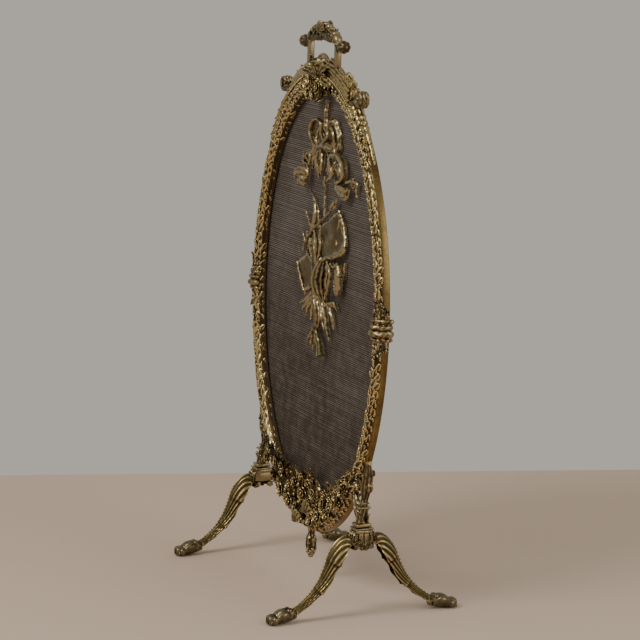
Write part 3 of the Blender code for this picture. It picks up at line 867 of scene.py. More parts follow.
def build_leg(name, cad_name, sign_x, sign_y):
    """A cast leg; the lean in its place() runs from 0 on the ridge to 1 on the inner edge."""
    rows, columns = 96, 48
    reach = PAW_TIP - LEG_ROOT
    line = smooth_path([(LEG_ROOT + share * reach, height, thick, wide)
                        for share, height, thick, wide in LEG_LINE], rows + 1)
    centres = [Vector((0.0, p[0], p[1])) for p in line]
    work = bmesh.new()
    ridge = []

    def frame_at(index):
        before, after = centres[max(0, index - 1)], centres[min(rows, index + 1)]
        along = (after - before).normalized()
        return along, Vector((0.0, -along.z, along.y)) * (1 if along.y > 0 else -1)

    def place(u, v):
        index = round(v * rows)
        along, outward = frame_at(index)
        thick, wide = line[index][2], line[index][3]
        angle = (u - 0.5) * LEG_WRAP
        lean = abs(2 * u - 1)
        fade = min(1.0, v / 0.06) * min(1.0, (1 - v) / 0.12)
        flute = math.cos(abs(angle) * 5.2 + v * 40.0 * (0.3 + lean)) * 0.085 * fade * min(1.0, lean * 3.2)
        flare = tier_flare(v) * (0.1 + 0.42 * max(0.0, lean - 0.35) ** 1.2) * fade
        crest = 0.16 * max(0.0, 1 - abs(angle) / 0.3) * fade
        scale = 1 + flute + flare + crest
        slip = -0.0035 * tier_flare(v) * lean
        return (centres[index] + Vector((math.sin(angle) * wide * scale, 0, 0))
                + outward * (math.cos(angle) * thick * scale - 0.001) - along * slip)

    shape_grid(work, columns, rows, place, weld=False)
    thicken(work, -LEG_WALL)
    for index in range(int(rows * 0.3), int(rows * 0.86), 3):
        along, outward = frame_at(index)
        size = 0.00165 * (1.1 - 0.35 * index / rows)
        bead(work, centres[index] + outward * (line[index][2] * 1.16 - 0.0002), size)
    bmesh.ops.scale(work, vec=(sign_x, sign_y, 1.0), verts=work.verts)
    bmesh.ops.translate(work, vec=(sign_x * LEG_X, 0, 0), verts=work.verts)
    for vertex in work.verts:
        vertex.co.z = max(0.0004, vertex.co.z)
    add_piece(name, to_mesh(work, name), OLIVE, [cad_name], "leg_brass", on_panel=False,
              base=0.5, gain=1.5, rounds=2)


# %% [markdown]
# ## Paws
#
# The paws are the screen's feet, so their soles are drawn down to the floor exactly. Toes
# are bars whose radius swells at each knuckle, and a claw is a short thin bar.

# %% Paw
PAW_TOP = 0.018


def build_paw(name, cad_name, sign_x, sign_y):
    """A lion's paw: a low pad, four long toes with two knuckles each, and short claws."""
    work = bmesh.new()
    heel = PAW_TIP - 0.04
    tube(work, [(0, heel, 0.0128), (0, heel + 0.008, 0.0128), (0, heel + 0.018, 0.012),
                (0, heel + 0.027, 0.0085)],
         [0.0058, 0.008, 0.0092, 0.007], around=16, samples=14)
    for offset, forward_reach, width in ((-0.0088, 0.0, 0.004), (-0.0031, 0.0045, 0.0045),
                                         (0.0031, 0.0045, 0.0045), (0.0088, 0.0, 0.004)):
        spread = offset * 0.55
        base = heel + 0.012
        toe = [(spread, base - 0.002, 0.0115), (offset * 0.9, base + 0.005, 0.0142),
               (offset, base + 0.0115, 0.0126), (offset, base + 0.0155, 0.0098),
               (offset, base + 0.02 + forward_reach, 0.0082),
               (offset, base + 0.0238 + forward_reach * 1.1, 0.006)]
        tube(work, toe, [width * 0.9, width * 1.2, width * 1.02, width * 0.96, width * 1.3, width * 0.7],
             around=14, samples=24)
        tip = base + 0.0245 + forward_reach * 1.1
        tube(work, [(offset, tip - 0.0005, 0.0066), (offset, tip + 0.0014, 0.005),
                    (offset, tip + 0.0018, 0.003)],
             [0.0017, 0.0013, 0.0005], around=8, samples=6)
    for offset in (-0.006, 0.0, 0.006):
        bead(work, (offset, heel + 0.0105, 0.0182), 0.0034, squash=(1, 1.3, 0.9), detail=2)
    sole = min(vertex.co.z for vertex in work.verts)
    for vertex in work.verts:
        sink = sole * max(0.0, (PAW_TOP - vertex.co.z) / (PAW_TOP - sole))
        vertex.co.z -= sink
        vertex.co.y = min(PAW_TIP, vertex.co.y)
    bmesh.ops.scale(work, vec=(sign_x, sign_y, 1.0), verts=work.verts)
    bmesh.ops.translate(work, vec=(sign_x * LEG_X, 0, 0), verts=work.verts)
    add_piece(name, to_mesh(work, name), PAW_DARK, [cad_name], "leg_brass", on_panel=False,
              base=0.46, gain=1.4, rounds=2)


PAW_DARK = aged_brass("paw_brown", (0.016, 0.013, 0.009), (0.058, 0.047, 0.026), (0.21, 0.172, 0.095),
                      rough=0.4)
for side, sign_x in (("left", -1), ("right", 1)):
    for end, sign_y in (("front", -1), ("back", 1)):
        build_leg(f"leg_shell_{end}_{side}", f"leg_{end}_{side}", sign_x, sign_y)
        build_paw(f"paw_{end}_{side}", f"leg_{end}_{side}", sign_x, sign_y)

# %% [markdown]
# ## Carrying handle
#
# Two square posts carry a low arch that is wrapped in leaves, with a shell on top and a
# fluted knob at each corner. The posts come from the CAD handle's box.

# %% Handle
handle_low, handle_high = panel_box("handle")
POST_X = handle_high.x - 0.005
HANDLE_FOOT = handle_low.z
HANDLE_MID = (handle_low.y + handle_high.y) / 2
ARCH_FOOT = HANDLE_FOOT + 0.034
ARCH_TOP = 0.7715


def build_handle():
    bars = bmesh.new()
    for side in (-1, 1):
        made = bmesh.ops.create_cube(bars, size=1.0)
        height = ARCH_FOOT - HANDLE_FOOT + 0.004
        bmesh.ops.scale(bars, vec=(0.0098, 0.008, height), verts=made["verts"])
        bmesh.ops.translate(bars, vec=(side * POST_X, HANDLE_MID, HANDLE_FOOT + height / 2),
                            verts=made["verts"])
    bmesh.ops.bevel(bars, geom=bars.edges[:], offset=0.0011, affect="EDGES", segments=2, profile=0.5,
                    material=-1)
    arch = [(-POST_X, HANDLE_MID, ARCH_FOOT - 0.001), (-POST_X * 0.92, HANDLE_MID, ARCH_FOOT + 0.007),
            (-POST_X * 0.5, HANDLE_MID, ARCH_TOP - 0.006), (0, HANDLE_MID, ARCH_TOP - 0.003),
            (POST_X * 0.5, HANDLE_MID, ARCH_TOP - 0.006), (POST_X * 0.92, HANDLE_MID, ARCH_FOOT + 0.007),
            (POST_X, HANDLE_MID, ARCH_FOOT - 0.001)]
    tube(bars, arch, [0.0055, 0.0068, 0.007, 0.0075, 0.007, 0.0068, 0.0055], around=14, samples=40)
    add_piece("handle_bow", to_mesh(bars, "handle_bow"), BROWN_BRASS, ["handle"], base=0.5, gain=1.0)
    leaves = bmesh.new()
    front = -HANDLE_MID
    for side in (-1, 1):
        for x, z, heading, size, lift in ((0.057, 0.746, 4, 0.5, 0.003), (0.055, 0.754, -24, 0.5, 0.003),
                                          (0.05, 0.759, -52, 0.66, 0.006), (0.046, 0.765, -36, 0.62, 0.003),
                                          (0.036, 0.763, -70, 0.66, 0.006), (0.033, 0.769, -50, 0.62, 0.003),
                                          (0.022, 0.765, -78, 0.66, 0.006), (0.02, 0.772, -56, 0.6, 0.003),
                                          (0.008, 0.764, -84, 0.6, 0.006)):
            for face in (1, -1):
                turn_round = Matrix.Translation((0, HANDLE_MID, 0)) @ Matrix.Diagonal((1, face, 1, 1))
                stamp(leaves, LEAF_FLAT,
                      turn_round @ on_panel(side * x, z, lift + 0.001, side * heading, tip=3,
                                                               size=0.88 * size, flip=side))
        for x, z, heading in ((0.049, 0.726, -28), (0.045, 0.724, -44), (0.04, 0.722, -62)):
            stamp(leaves, LEAF_SMALL, on_panel(side * x, z, front + 0.001, side * heading, tip=0, size=1.0))
        for x, z, radius in ((0.0535, 0.765, 0.0058), (0.044, 0.772, 0.0062), (0.032, 0.777, 0.006),
                             (0.019, 0.78, 0.0062), (0.007, 0.783, 0.0058)):
            bead(leaves, (side * x, HANDLE_MID, z), radius, squash=(1.1, 1.2, 0.85), detail=3)
    add_piece("handle_leaves", to_mesh(leaves, "handle_leaves"), BROWN_BRASS, ["handle"], gain=1.3,
              uneven=0.001, worn=10)
    fan = bmesh.new()
    shell = shell_fan(0.015, 7, math.radians(170), 0.0045)
    stamp(fan, shell, on_panel(0.0, 0.7735, front + 0.003, 0, tip=6))
    stamp(fan, shell, Matrix.Translation((0, 2 * HANDLE_MID, 0)) @ Matrix.Diagonal((1, -1, 1, 1))
          @ on_panel(0.0, 0.7735, front + 0.003, 0, tip=6))
    for x in (-0.017, 0.017):
        bead(fan, (x, HANDLE_MID, 0.78), 0.0038, detail=2)
    add_piece("handle_shell_fan", to_mesh(fan, "handle_shell_fan"), BROWN_BRASS, ["handle_shell"], gain=1.3)
    for name, side in (("left", -1), ("right", 1)):
        knob = bmesh.new()
        low, high = panel_box(f"handle_rosette_{name}")
        tip, root = (high.x, low.x) if side > 0 else (low.x, high.x)
        middle = (low.z + high.z) / 2
        points = [(root + (tip - root) * share, HANDLE_MID, middle)
                  for share in (0, 0.2, 0.45, 0.7, 0.9, 1.0)]
        tube(knob, points, [0.0036, 0.0046, 0.0084, 0.009, 0.0062, 0.0012], around=48, samples=22, flutes=8,
             depth=0.1)
        add_piece(f"handle_knob_{name}", to_mesh(knob, f"handle_knob_{name}"), BROWN_BRASS,
                  [f"handle_rosette_{name}"], gain=1.2)


build_handle()

# %% [markdown]
# ## Crest
#
# The crest grows from the ring's top: two fluted shoulders that run out to a pair of
# curled volutes, a ribbed shell between the handle's posts, and a palmette of leaves and
# flowers that hangs over the cloth. The shoulders are bars laid along the oval itself.

# %% Crest shoulders
def oval_run(start, end, inset, front, count=12):
    return [oval_point(math.radians(start + (end - start) * index / (count - 1)), inset, front)
            for index in range(count)]


# Steps of the crest's outline as (x from the middle, height, radius); the castings differ a little.
CREST_STEPS = {-1: ((0.078, 0.7145, 0.0084), (0.096, 0.705, 0.0078), (0.113, 0.6945, 0.007)),
               1: ((0.084, 0.7165, 0.0088), (0.102, 0.7085, 0.0084), (0.12, 0.6985, 0.0078))}


def build_shoulders():
    work = bmesh.new()
    for side in (-1, 1):
        for row, (inset, front, thick) in enumerate(((-0.001, 0.01, 0.0028), (-0.0052, 0.0094, 0.0028),
                                                     (-0.0094, 0.008, 0.0027), (-0.0134, 0.006, 0.0025),
                                                     (-0.017, 0.003, 0.0022))):
            run = oval_run(89, 63 + row * 1.2, inset, front)
            points = [Vector((side * p.x, p.y, p.z)) for p in run]
            tube(work, points, [thick] * len(points), around=10, samples=36)
    for side in (-1, 1):
        for x, z, radius in CREST_STEPS[side]:
            for face in (1, -1):
                curl = spiral((side * x, z), radius, 0.001, 1.2, math.radians(90 - 70 * side),
                              0.001 + 0.0035 * face, clockwise=side > 0)
                tube(work, curl, [0.003 - 0.0014 * k / len(curl) for k in range(len(curl))], around=10,
                     samples=40)
            bead(work, (side * x, -0.001, z), radius * 0.72, detail=2)
            stamp(work, LEAF_FLAT, on_panel(side * x * 0.96, z - 0.013, 0.007, side * 24, tip=-4, size=0.72,
                                            flip=side))
    add_piece("crest_shoulders", to_mesh(work, "crest_shoulders"), ANTIQUE, ["crest"], gain=1.2,
              uneven=0.0008, worn=2, base=0.6)
    beads = bmesh.new()
    for side in (-1, 1):
        for index in range(26):
            point = oval_point(math.radians(86 - index * 1.05), 0.003, 0.0118)
            bead(beads, (side * point.x, point.y, point.z), 0.00165)
    add_piece("crest_beads", to_mesh(beads, "crest_beads"), GILT, ["crest"], base=0.6, gain=0.4)


build_shoulders()


# %% [markdown]
# ## The curled volutes
#
# Each end of the crest curls forwards into a volute. One coil would look like bent wire, so
# three coils side by side, the middle one larger, make it a casting with rounded edges.

# %% Volutes
def build_volutes():
    for name, side in (("left", -1), ("right", 1)):
        low, high = panel_box(f"crest_ear_{name}")
        centre = ((low.x + high.x) / 2, (low.z + high.z) / 2)
        front = -(low.y + high.y) / 2
        work = bmesh.new()
        middle = (centre[0], centre[1] + 0.002)
        for layer, depth in ((-1, 0.0046), (0, 0.0), (1, 0.0046)):
            outer = 0.0128 - 0.0012 * abs(layer)
            start = math.radians(205 if side > 0 else -25)
            coil = spiral(middle, outer, 0.003, 1.05, start, front + layer * depth, clockwise=side < 0)
            stem = [Vector((centre[0] - side * 0.03, -front - layer * depth, centre[1] - 0.006)),
                    Vector((centre[0] - side * 0.021, -front - layer * depth, centre[1] - 0.007))]
            radii = [0.0036, 0.004] + [0.0038 - 0.0018 * index / len(coil) for index in range(len(coil))]
            tube(work, stem + coil, radii, around=12, samples=56)
        bead(work, (middle[0], -front, middle[1]), 0.0056, squash=(1, 1.5, 1), detail=2)
        add_piece(f"volute_{name}", to_mesh(work, f"volute_{name}"), BROWN_BRASS, [f"crest_ear_{name}"],
                  gain=1.0, uneven=0.0008, worn=4)


build_volutes()


# %% [markdown]
# ## The shell and the palmette
#
# The shell stands between the handle's posts. The palmette hangs from the crest over the
# cloth: broad leaves that fan out from one point, with flowers and berries where they meet.

# %% Shell and palmette
def build_palmette():
    work = bmesh.new()
    arch = shell_fan(0.03, 7, math.radians(150), 0.0075, 0.0014)
    stamp(work, arch, on_panel(0.0, 0.706, 0.004, 0, tip=4))
    for reach in (0.034, 0.0385):
        run = [Vector((reach * math.sin(math.radians(a)), -0.0045,
                       0.703 + reach * math.cos(math.radians(a))))
               for a in range(-70, 71, 10)]
        tube(work, run, [0.0019] * len(run), around=8, samples=36)
    add_piece("crest_shell", to_mesh(work, "crest_shell"), ANTIQUE, ["crest"], gain=1.2, uneven=0.0006)
    leaves = bmesh.new()
    for x, z, heading, size, tip in ((0.0, 0.706, 180, 1.0, -16), (-0.01, 0.703, 212, 0.95, -10),
                                     (0.01, 0.703, 148, 0.95, -10), (-0.016, 0.708, 244, 0.95, -6),
                                     (0.016, 0.708, 116, 0.95, -6), (-0.018, 0.715, 280, 0.8, 0),
                                     (0.018, 0.715, 80, 0.8, 0), (0.0, 0.71, 0, 0.8, 12),
                                     (-0.034, 0.704, 250, 0.85, -4), (0.034, 0.704, 110, 0.85, -4)):
        stamp(leaves, LEAF_BROAD, on_panel(x, z, 0.0145, heading, tip=tip, size=size))
    for x, z, front in ((0.0, 0.706, 0.0215), (-0.022, 0.6985, 0.0175), (0.022, 0.6985, 0.0175),
                        (-0.011, 0.688, 0.0185), (0.012, 0.687, 0.0185)):
        stamp(leaves, FLOWER, on_panel(x, z, front))
    for x, z in ((-0.006, 0.694), (0.005, 0.693), (-0.001, 0.687), (-0.03, 0.709), (0.03, 0.709),
                 (-0.004, 0.699), (0.006, 0.68), (-0.014, 0.68)):
        bead(leaves, (x, -0.0225, z), 0.003, detail=2)
    add_piece("palmette", to_mesh(leaves, "palmette"), ANTIQUE, ["crest_palmette"], gain=1.3,
              uneven=0.0009, worn=3, base=0.6)


build_palmette()


# %% [markdown]
# ## Long leaves under the volutes
#
# A ribbed leaf hugs the outer edge of the ring below each volute and dies away down the
# rim. It is one tapering bar whose radius swells at every rib, with small leaves over it.

# %% Shoulder leaves
def build_edge_leaves():
    for name, side in (("left", -1), ("right", 1)):
        work = bmesh.new()
        for inset, front, thick in ((-0.0018, 0.006, 0.0052), (-0.003, 0.0, 0.0056),
                                    (0.003, 0.011, 0.0034)):
            run, radii = [], []
            for index in range(41):
                share = index / 40
                point = oval_point(math.radians(61.5 - 20.5 * share), inset + 0.0022 * share, front)
                run.append(Vector((side * point.x, point.y, point.z)))
                rib = 0.8 + 0.2 * abs(math.sin(index * math.pi / 4))
                radii.append(thick * rib * (1 - 0.72 * share ** 2.0))
            tube(work, run, radii, around=12, samples=121)
        for share, size in ((0.02, 0.78), (0.22, 0.74), (0.42, 0.68), (0.6, 0.6), (0.78, 0.5)):
            angle = 61.5 - 20.5 * share
            point = oval_point(math.radians(angle), 0.001, 0.011)
            heading = math.degrees(math.atan2(*[oval_axes(math.radians(angle))[1].x,
                                                oval_axes(math.radians(angle))[1].z])) + 180
            stamp(work, LEAF_FLAT,
                  on_panel(side * point.x, point.z, -point.y - 0.001, side * heading, tip=3,
                                             size=size, flip=side))
        add_piece(f"edge_leaf_{name}", to_mesh(work, f"edge_leaf_{name}"), ANTIQUE,
                  [f"shoulder_leaf_{name}"], gain=1.2, uneven=0.0009)


build_edge_leaves()


# %% [markdown]
# ## Clasps at mid height
#
# A clasp wraps the ring at each side: a fat middle band, thin bands and a row of beads on
# either side of it, and a leaf above and below. Every band follows the ring's section.

# %% Clasps
WRAP = [(0.004, -0.0068), (-0.0022, -0.006), (-0.0036, -0.001), (-0.0032, 0.005), (-0.0004, 0.0094),
        (0.006, 0.0142), (0.012, 0.0152), (0.018, 0.0135), (0.0225, 0.01), (0.025, 0.0068)]


CLASP_CURVE = 0.322


def build_clasps():
    for name, side in (("left", -1), ("right", 1)):
        work = bmesh.new()
        for offset, thick, rise in ((0.004, 0.0036, -0.0004), (-0.005, 0.0048, 0.0),
                                    (0.0118, 0.0024, -0.0008), (-0.0132, 0.0024, -0.0008)):
            angle = offset / CLASP_CURVE
            here = angle if side > 0 else math.pi - angle
            points = [oval_point(here, inset - rise, front + rise) for inset, front in WRAP]
            tube(work, points, [thick * 0.7] + [thick] * (len(points) - 2) + [thick * 0.6], around=12,
                 samples=40, hint=Vector((0, 0, 1)))
        for offset in (0.008, -0.009):
            here = offset / CLASP_CURVE if side > 0 else math.pi - offset / CLASP_CURVE
            dense = smooth_path([oval_point(here, inset, front) for inset, front in WRAP], 15)
            for point in dense[:-1]:
                bead(work, point, 0.0018)
        for direction in (1, -1):
            angle = direction * 0.015 / CLASP_CURVE
            here = angle if side > 0 else math.pi - angle
            for inset, front, size in ((0.011, 0.0126, 0.8), (0.002, 0.0086, 0.74), (0.02, 0.0088, 0.62),
                                       (-0.003, 0.002, 0.5)):
                point = oval_point(here, inset, front)
                stamp(work, LEAF_FLAT,
                      on_panel(point.x, point.z, -point.y, 0 if direction > 0 else 180, tip=2, size=size))
        add_piece(f"clasp_{name}", to_mesh(work, f"clasp_{name}"), BROWN_BRASS, [f"mid_clasp_{name}"],
                  gain=1.3, uneven=0.0016, worn=2)


build_clasps()


# %% [markdown]
# ## Trophy hanging on the cloth
#
# A rod comes down from the palmette into a ribbon bow. Its tails spread to both sides and
# below it hang the emblems: an arrow and a horn, an open music book on a tablet, a bag and
# a tambourine, and a bundle of reeds that ends in a flared torch. Everything is a bar along
# a smooth path, some round, some as flat as ribbon, so one helper draws it all.

# %% Rod and ribbon bow
FLAP = shell_fan(0.015, 3, math.radians(110), 0.005)


def metres(points):
    """Points given in millimetres, as metres."""
    return [tuple(value / 1000 for value in point) for point in points]


def flaps(*places):
    """Crumpled ends of ribbon, each (place, heading, size)."""
    def add(work):
        for place, heading, size in places:
            x, y, z = metres([place])[0]
            stamp(work, FLAP, on_panel(x, z, -y, heading, tip=-12, size=size))
    return add


BAR_SWELL = 1.22
BRONZE = aged_brass("trophy_bronze", (0.016, 0.011, 0.006), (0.165, 0.124, 0.062), (0.4, 0.32, 0.18),
                    rough=0.42)


def bars(name, replaces, paths, extra=None, **shape):
    """One piece from several bars; each is (points, radii, flatness, flutes), in millimetres."""
    work = bmesh.new()
    for points, radii, flat, flutes in paths:
        radii = radii if isinstance(radii, list) else [radii] * len(points)
        swell = [BAR_SWELL * radius / 1000 for radius in radii]
        tube(work, metres(points), swell, around=max(10, flutes * 4), samples=8 * len(points),
             flutes=flutes, depth=0.25 if flutes else 0.0, flat=flat)
    if extra:
        extra(work)
    return add_piece(name, to_mesh(work, name), BRONZE, replaces, gain=1.5, uneven=0.0011, **shape)


bars("rod_bars", ["trophy_rod"], [
    ([(8, 1, 679), (8, 0, 663), (9, -1, 641)], 3, 1.0, 4),
    ([(10, 0, 574), (11, 0, 548), (16, -1, 519)], 1.8, 1.0, 0)])
bars("bow_loop_left", ["ribbon_bow_left"], [
    ([(2, -5, 614), (-23, -5, 618), (-37, -5, 632), (-32, -5, 645), (-17, -4, 651), (-3, -2, 646),
      (-3, -1, 634), (-9, -1, 618)],
     1.7, 2.6, 0),
    ([(-39, -2, 611), (-26, -4, 603), (-46, -5, 600)], [2.2, 3.6, 2], 0.8, 3)])
bars("bow_loop_right", ["ribbon_bow_right"], [
    ([(14, -5, 614), (29, -5, 633), (33, -4, 647), (45, -3, 653), (56, -1, 647), (65, 0, 631),
      (63, -1, 614), (42, -3, 607), (22, -5, 612)],
     [2.2, 2.6, 3.4, 3.8, 3.6, 3.6, 3, 2.6, 2], 1.1, 4),
    ([(39, -5, 646), (52, -5, 636), (55, -4, 620)], [2.6, 4.2, 2.6], 0.8, 3)])
bars("bow_knot", ["ribbon_knot"], [
    ([(-21, -1, 649), (-4, -2, 628), (1, -3, 610), (-13, -3, 589), (-15, -2, 575)],
     [3, 7.2, 9, 7.6, 3], 0.5, 5),
    ([(-38, -3, 628), (-19, -5, 617), (-30, -5, 604), (-40, -4, 594)], [2, 4, 4.4, 2], 0.8, 3),
    ([(1, -6, 610), (-15, -7, 596), (-25, -6, 582)], [3, 4.6, 1.8], 0.8, 3),
    ([(35, -4, 626), (59, -4, 615), (60, -4, 604)], [2.6, 4.8, 3], 0.8, 3),
    ([(-12, -2, 630), (0, -3, 615), (6, -3, 599)], [4, 6, 4], 0.5, 4),
    ([(-5, -5, 641), (-10, -7, 625), (-5, -7, 613), (-23, -6, 602)], [2.2, 3.6, 3.4, 2], 0.8, 3),
    ([(21, -7, 643), (37, -8, 633), (18, -8, 618), (8, -7, 606)], [2, 4, 3.6, 2.2], 0.9, 3),
    ([(-8, -7, 610), (17, -9, 617), (41, -9, 617), (56, -7, 615)], [2.6, 4.8, 4.8, 2.8], 0.9, 4),
    ([(-17, -5, 598), (1, -8, 587), (3, -7, 571)], [4, 4.6, 1.4], 0.8, 3),
    ([(11, -5, 604), (17, -8, 590), (11, -7, 577)], [3.6, 4, 1.6], 0.8, 3),
    ([(35, -5, 606), (49, -8, 592), (61, -8, 584), (36, -7, 570)], [3.6, 5.6, 5.6, 1.8], 0.7, 3)],
    flaps(((47, -6, 592), 180, 0.95),
          ((-1, -6, 590), 182, 0.8),
          ((51, -4, 621), 160, 0.9),
          ((-30, -4, 621), 200, 0.8)))
bars("ribbon_left", ["ribbon_tail_left"], [
    ([(-64, -3, 599), (-38, -5, 598), (-45, -5, 586)], [3, 4.6, 2.4], 0.7, 3),
    ([(-84, -10, 569), (-58, -10, 566), (-45, -7, 560)], [4.4, 6, 3], 0.6, 4),
    ([(-25, -4, 606), (-50, -5, 601), (-66, -5, 589), (-51, -4, 581), (-46, -4, 567)],
     [2.6, 3.4, 3.2, 2.8, 2], 0.9, 3),
    ([(-48, -3, 563), (-48, -8, 574), (-72, -13, 573), (-82, -12, 564)], [2, 4.6, 5, 3], 0.7, 3),
    ([(-55, -5, 556), (-65, -9, 561), (-71, -11, 556)], [4, 5.8, 2.4], 0.7, 3),
    ([(-60, -8, 573), (-43, -8, 563)], [2, 3.6], 1.0, 0)],
    flaps(((-63, -7, 574), 185, 1.0),
          ((-53, -4, 603), 215, 0.8)))
bars("ribbon_right", ["ribbon_tail_right"], [
    ([(53, -4, 595), (77, -5, 588), (79, -4, 575)], [3, 6, 3], 0.6, 4),
    ([(75, -5, 566), (99, -8, 565), (119, -8, 562)], [3, 5.4, 3], 0.8, 3),
    ([(43, -5, 605), (74, -6, 607), (94, -6, 597), (93, -5, 580), (70, -5, 570)],
     [3.4, 5, 5.6, 4.6, 3.6], 0.9, 3),
    ([(64, -4, 572), (82, -6, 561), (109, -7, 557), (118, -5, 568)], [3.6, 5.2, 4.8, 2.8], 0.8, 3),
    ([(104, -3, 575), (124, -2, 578), (143, -2, 577), (138, -1, 569), (139, -1, 559)],
     [2.6, 2.8, 2.4, 2, 1.4], 1.0, 0)],
    flaps(((94, -5, 572), 170, 1.05),
          ((69, -4, 602), 165, 1.0),
          ((124, -2, 579), 110, 0.7)))

# %% [markdown]
# ## The arrow and the horn
#
# Long thin emblems cross behind the others, so they lie closest to the cloth.

# %% Arrow and horn
bars("arrow_and_quill", ["arrow_shaft"], [
    ([(72, -4, 549), (61, -5, 540), (50, -5, 532)], [1, 4.6, 2.2], 0.8, 4),
    ([(66, -4, 543), (35, -5, 522), (1, -7, 505), (-27, -8, 488), (-50, -8, 464)], 1.7, 1.0, 0),
    ([(73, 0, 529), (78, 0, 516), (70, -1, 501), (72, -1, 485)], [1.4, 4.6, 3.6, 4.6], 0.7, 4),
    ([(-57, -3, 519), (-43, -3, 507), (-22, -4, 493)], 1.3, 1.0, 0),
    ([(-70, -2, 488), (-60, -2, 477), (-56, -3, 464)], 1.1, 1.0, 0),
    ([(-53, -2, 490), (-45, -3, 479), (-43, -3, 466)], 1.1, 1.0, 0)])
bars("horn", ["flute"], [
    ([(-49, -1, 551), (-26, -2, 538), (-14, -4, 519), (-20, -5, 496)], [0.8, 2.2, 3.6, 4.4], 0.8, 0),
    ([(-14, -1, 531), (-3, -3, 517), (14, -4, 501)], [1, 2.2, 3], 0.8, 0)])


# %% [markdown]
# ## The music book
#
# The open book and the tablet under it are bent sheets. Curled edges are bars along their
# borders, because a bare sheet has an edge that is too sharp for a casting.

# %% Music book and tablet
def sheet(work, corners, columns, rows, shape, thickness):
    """A bent sheet between four corners in millimetres; shape(u, v) lifts it to the front."""
    top_left, top_right, bottom_left, bottom_right = [Vector(corner) for corner in metres(corners)]

    def place(u, v):
        top = top_left.lerp(top_right, u)
        return top.lerp(bottom_left.lerp(bottom_right, u), v) + Vector((0, -shape(u, v), 0))

    flat = bmesh.new()
    shape_grid(flat, columns, rows, place, weld=False)
    thicken(flat, thickness)
    mesh = to_mesh(flat, "sheet")
    work.from_mesh(mesh)
    bpy.data.meshes.remove(mesh)


def book_pages(work):
    sheet(work, [(8, -5, 502), (71, -1, 531), (11, -7, 449), (102, -2, 483)], 28, 22,
          lambda u, v: 0.004 * math.sin(math.pi * u) * (0.5 + 0.5 * v) + 0.0012 * math.sin(9 * u + 5 * v)
          - 0.001 * math.cos(14 * v + 3 * u), 0.0022)
    sheet(work, [(-77, -7, 443), (-27, -3, 468), (-43, -7, 406), (-11, -4, 419)], 14, 14,
          lambda u, v: 0.0006 * math.sin(7 * u) + 0.0005 * math.sin(6 * v + u), 0.0034)


bars("book", ["music_book"], [
    ([(74, -2, 532), (88, -1, 520), (98, -1, 502), (104, -2, 487)], [1.8, 2.2, 2.4, 2.6], 1.0, 0),
    ([(104, -2, 487), (96, -4, 477), (70, -7, 469), (40, -9, 463), (16, -9, 450)],
     [2.6, 2.6, 2.2, 2.2, 2.6], 1.0, 0),
    ([(15, -6, 501), (20, -7, 478), (13, -8, 452)], [2.2, 3, 2.6], 1.0, 3),
    ([(-12, -5, 498), (4, -7, 476), (2, -7, 454)], [3, 4, 3], 1.0, 3),
    ([(-31, -4, 492), (-23, -6, 473), (-13, -6, 454)], [2, 3.6, 2.6], 1.0, 3),
    ([(-72, -8, 444), (-41, -8, 407)], 1.6, 1.0, 0),
    ([(-52, -3, 469), (-16, -5, 451)], [2, 3.4], 1.0, 3)],
    book_pages)

# %% [markdown]
# ## The bag, the tambourine and the reeds
#
# The bag is a fluted bar as thick as a thumb, the tambourine is two rings round a flat drum,
# and the bundle of reeds ends in a flared torch.

# %% Bag, tambourine and reeds
bars("bag_pipes", ["bagpipe"], [
    ([(-16, -1, 507), (-15, -2, 482), (-5, -3, 453), (2, -3, 421), (1, -3, 393), (0, -2, 369)],
     [5, 10, 12, 12, 9, 5], 0.5, 6),
    ([(31, -6, 463), (27, -7, 449), (23, -8, 431), (26, -7, 415), (33, -6, 403)],
     [4.4, 10.4, 12.8, 10.6, 4.4], 0.8, 9),
    ([(49, -8, 460), (63, -8, 445), (54, -7, 424), (40, -6, 408)], [1.8, 2.2, 2.2, 1.6], 1.0, 0),
    ([(37, -4, 467), (54, -4, 458), (71, -4, 454)], [1.8, 2.2, 1.8], 1.0, 0),
    ([(101, -1, 466), (99, 0, 455), (99, -1, 442)], [1.4, 2.6, 2.2], 1.0, 3),
    ([(64, -3, 460), (76, -3, 455)], [1.6, 2.6], 1.0, 0)])
centre = Vector((81, -3, 440))
loop = [centre + Vector((15 * math.cos(a), -3.5 * math.cos(a), 20.5 * math.sin(a)))
        for a in [math.radians(15 + 30 * k) for k in range(13)]]
inner = [centre + Vector((8.5 * math.cos(a), 0, 13 * math.sin(a)))
         for a in [math.radians(15 + 30 * k) for k in range(13)]]
bars("drum", ["tambourine"], [
    (loop, 3, 1.2, 0),
    (inner, 2.4, 1.0, 0),
    ([centre + Vector((0, 2, 17)), centre + Vector((0, 1, 0)), centre + Vector((0, 2, -17))],
     [8, 12, 8], 0.35, 0)])
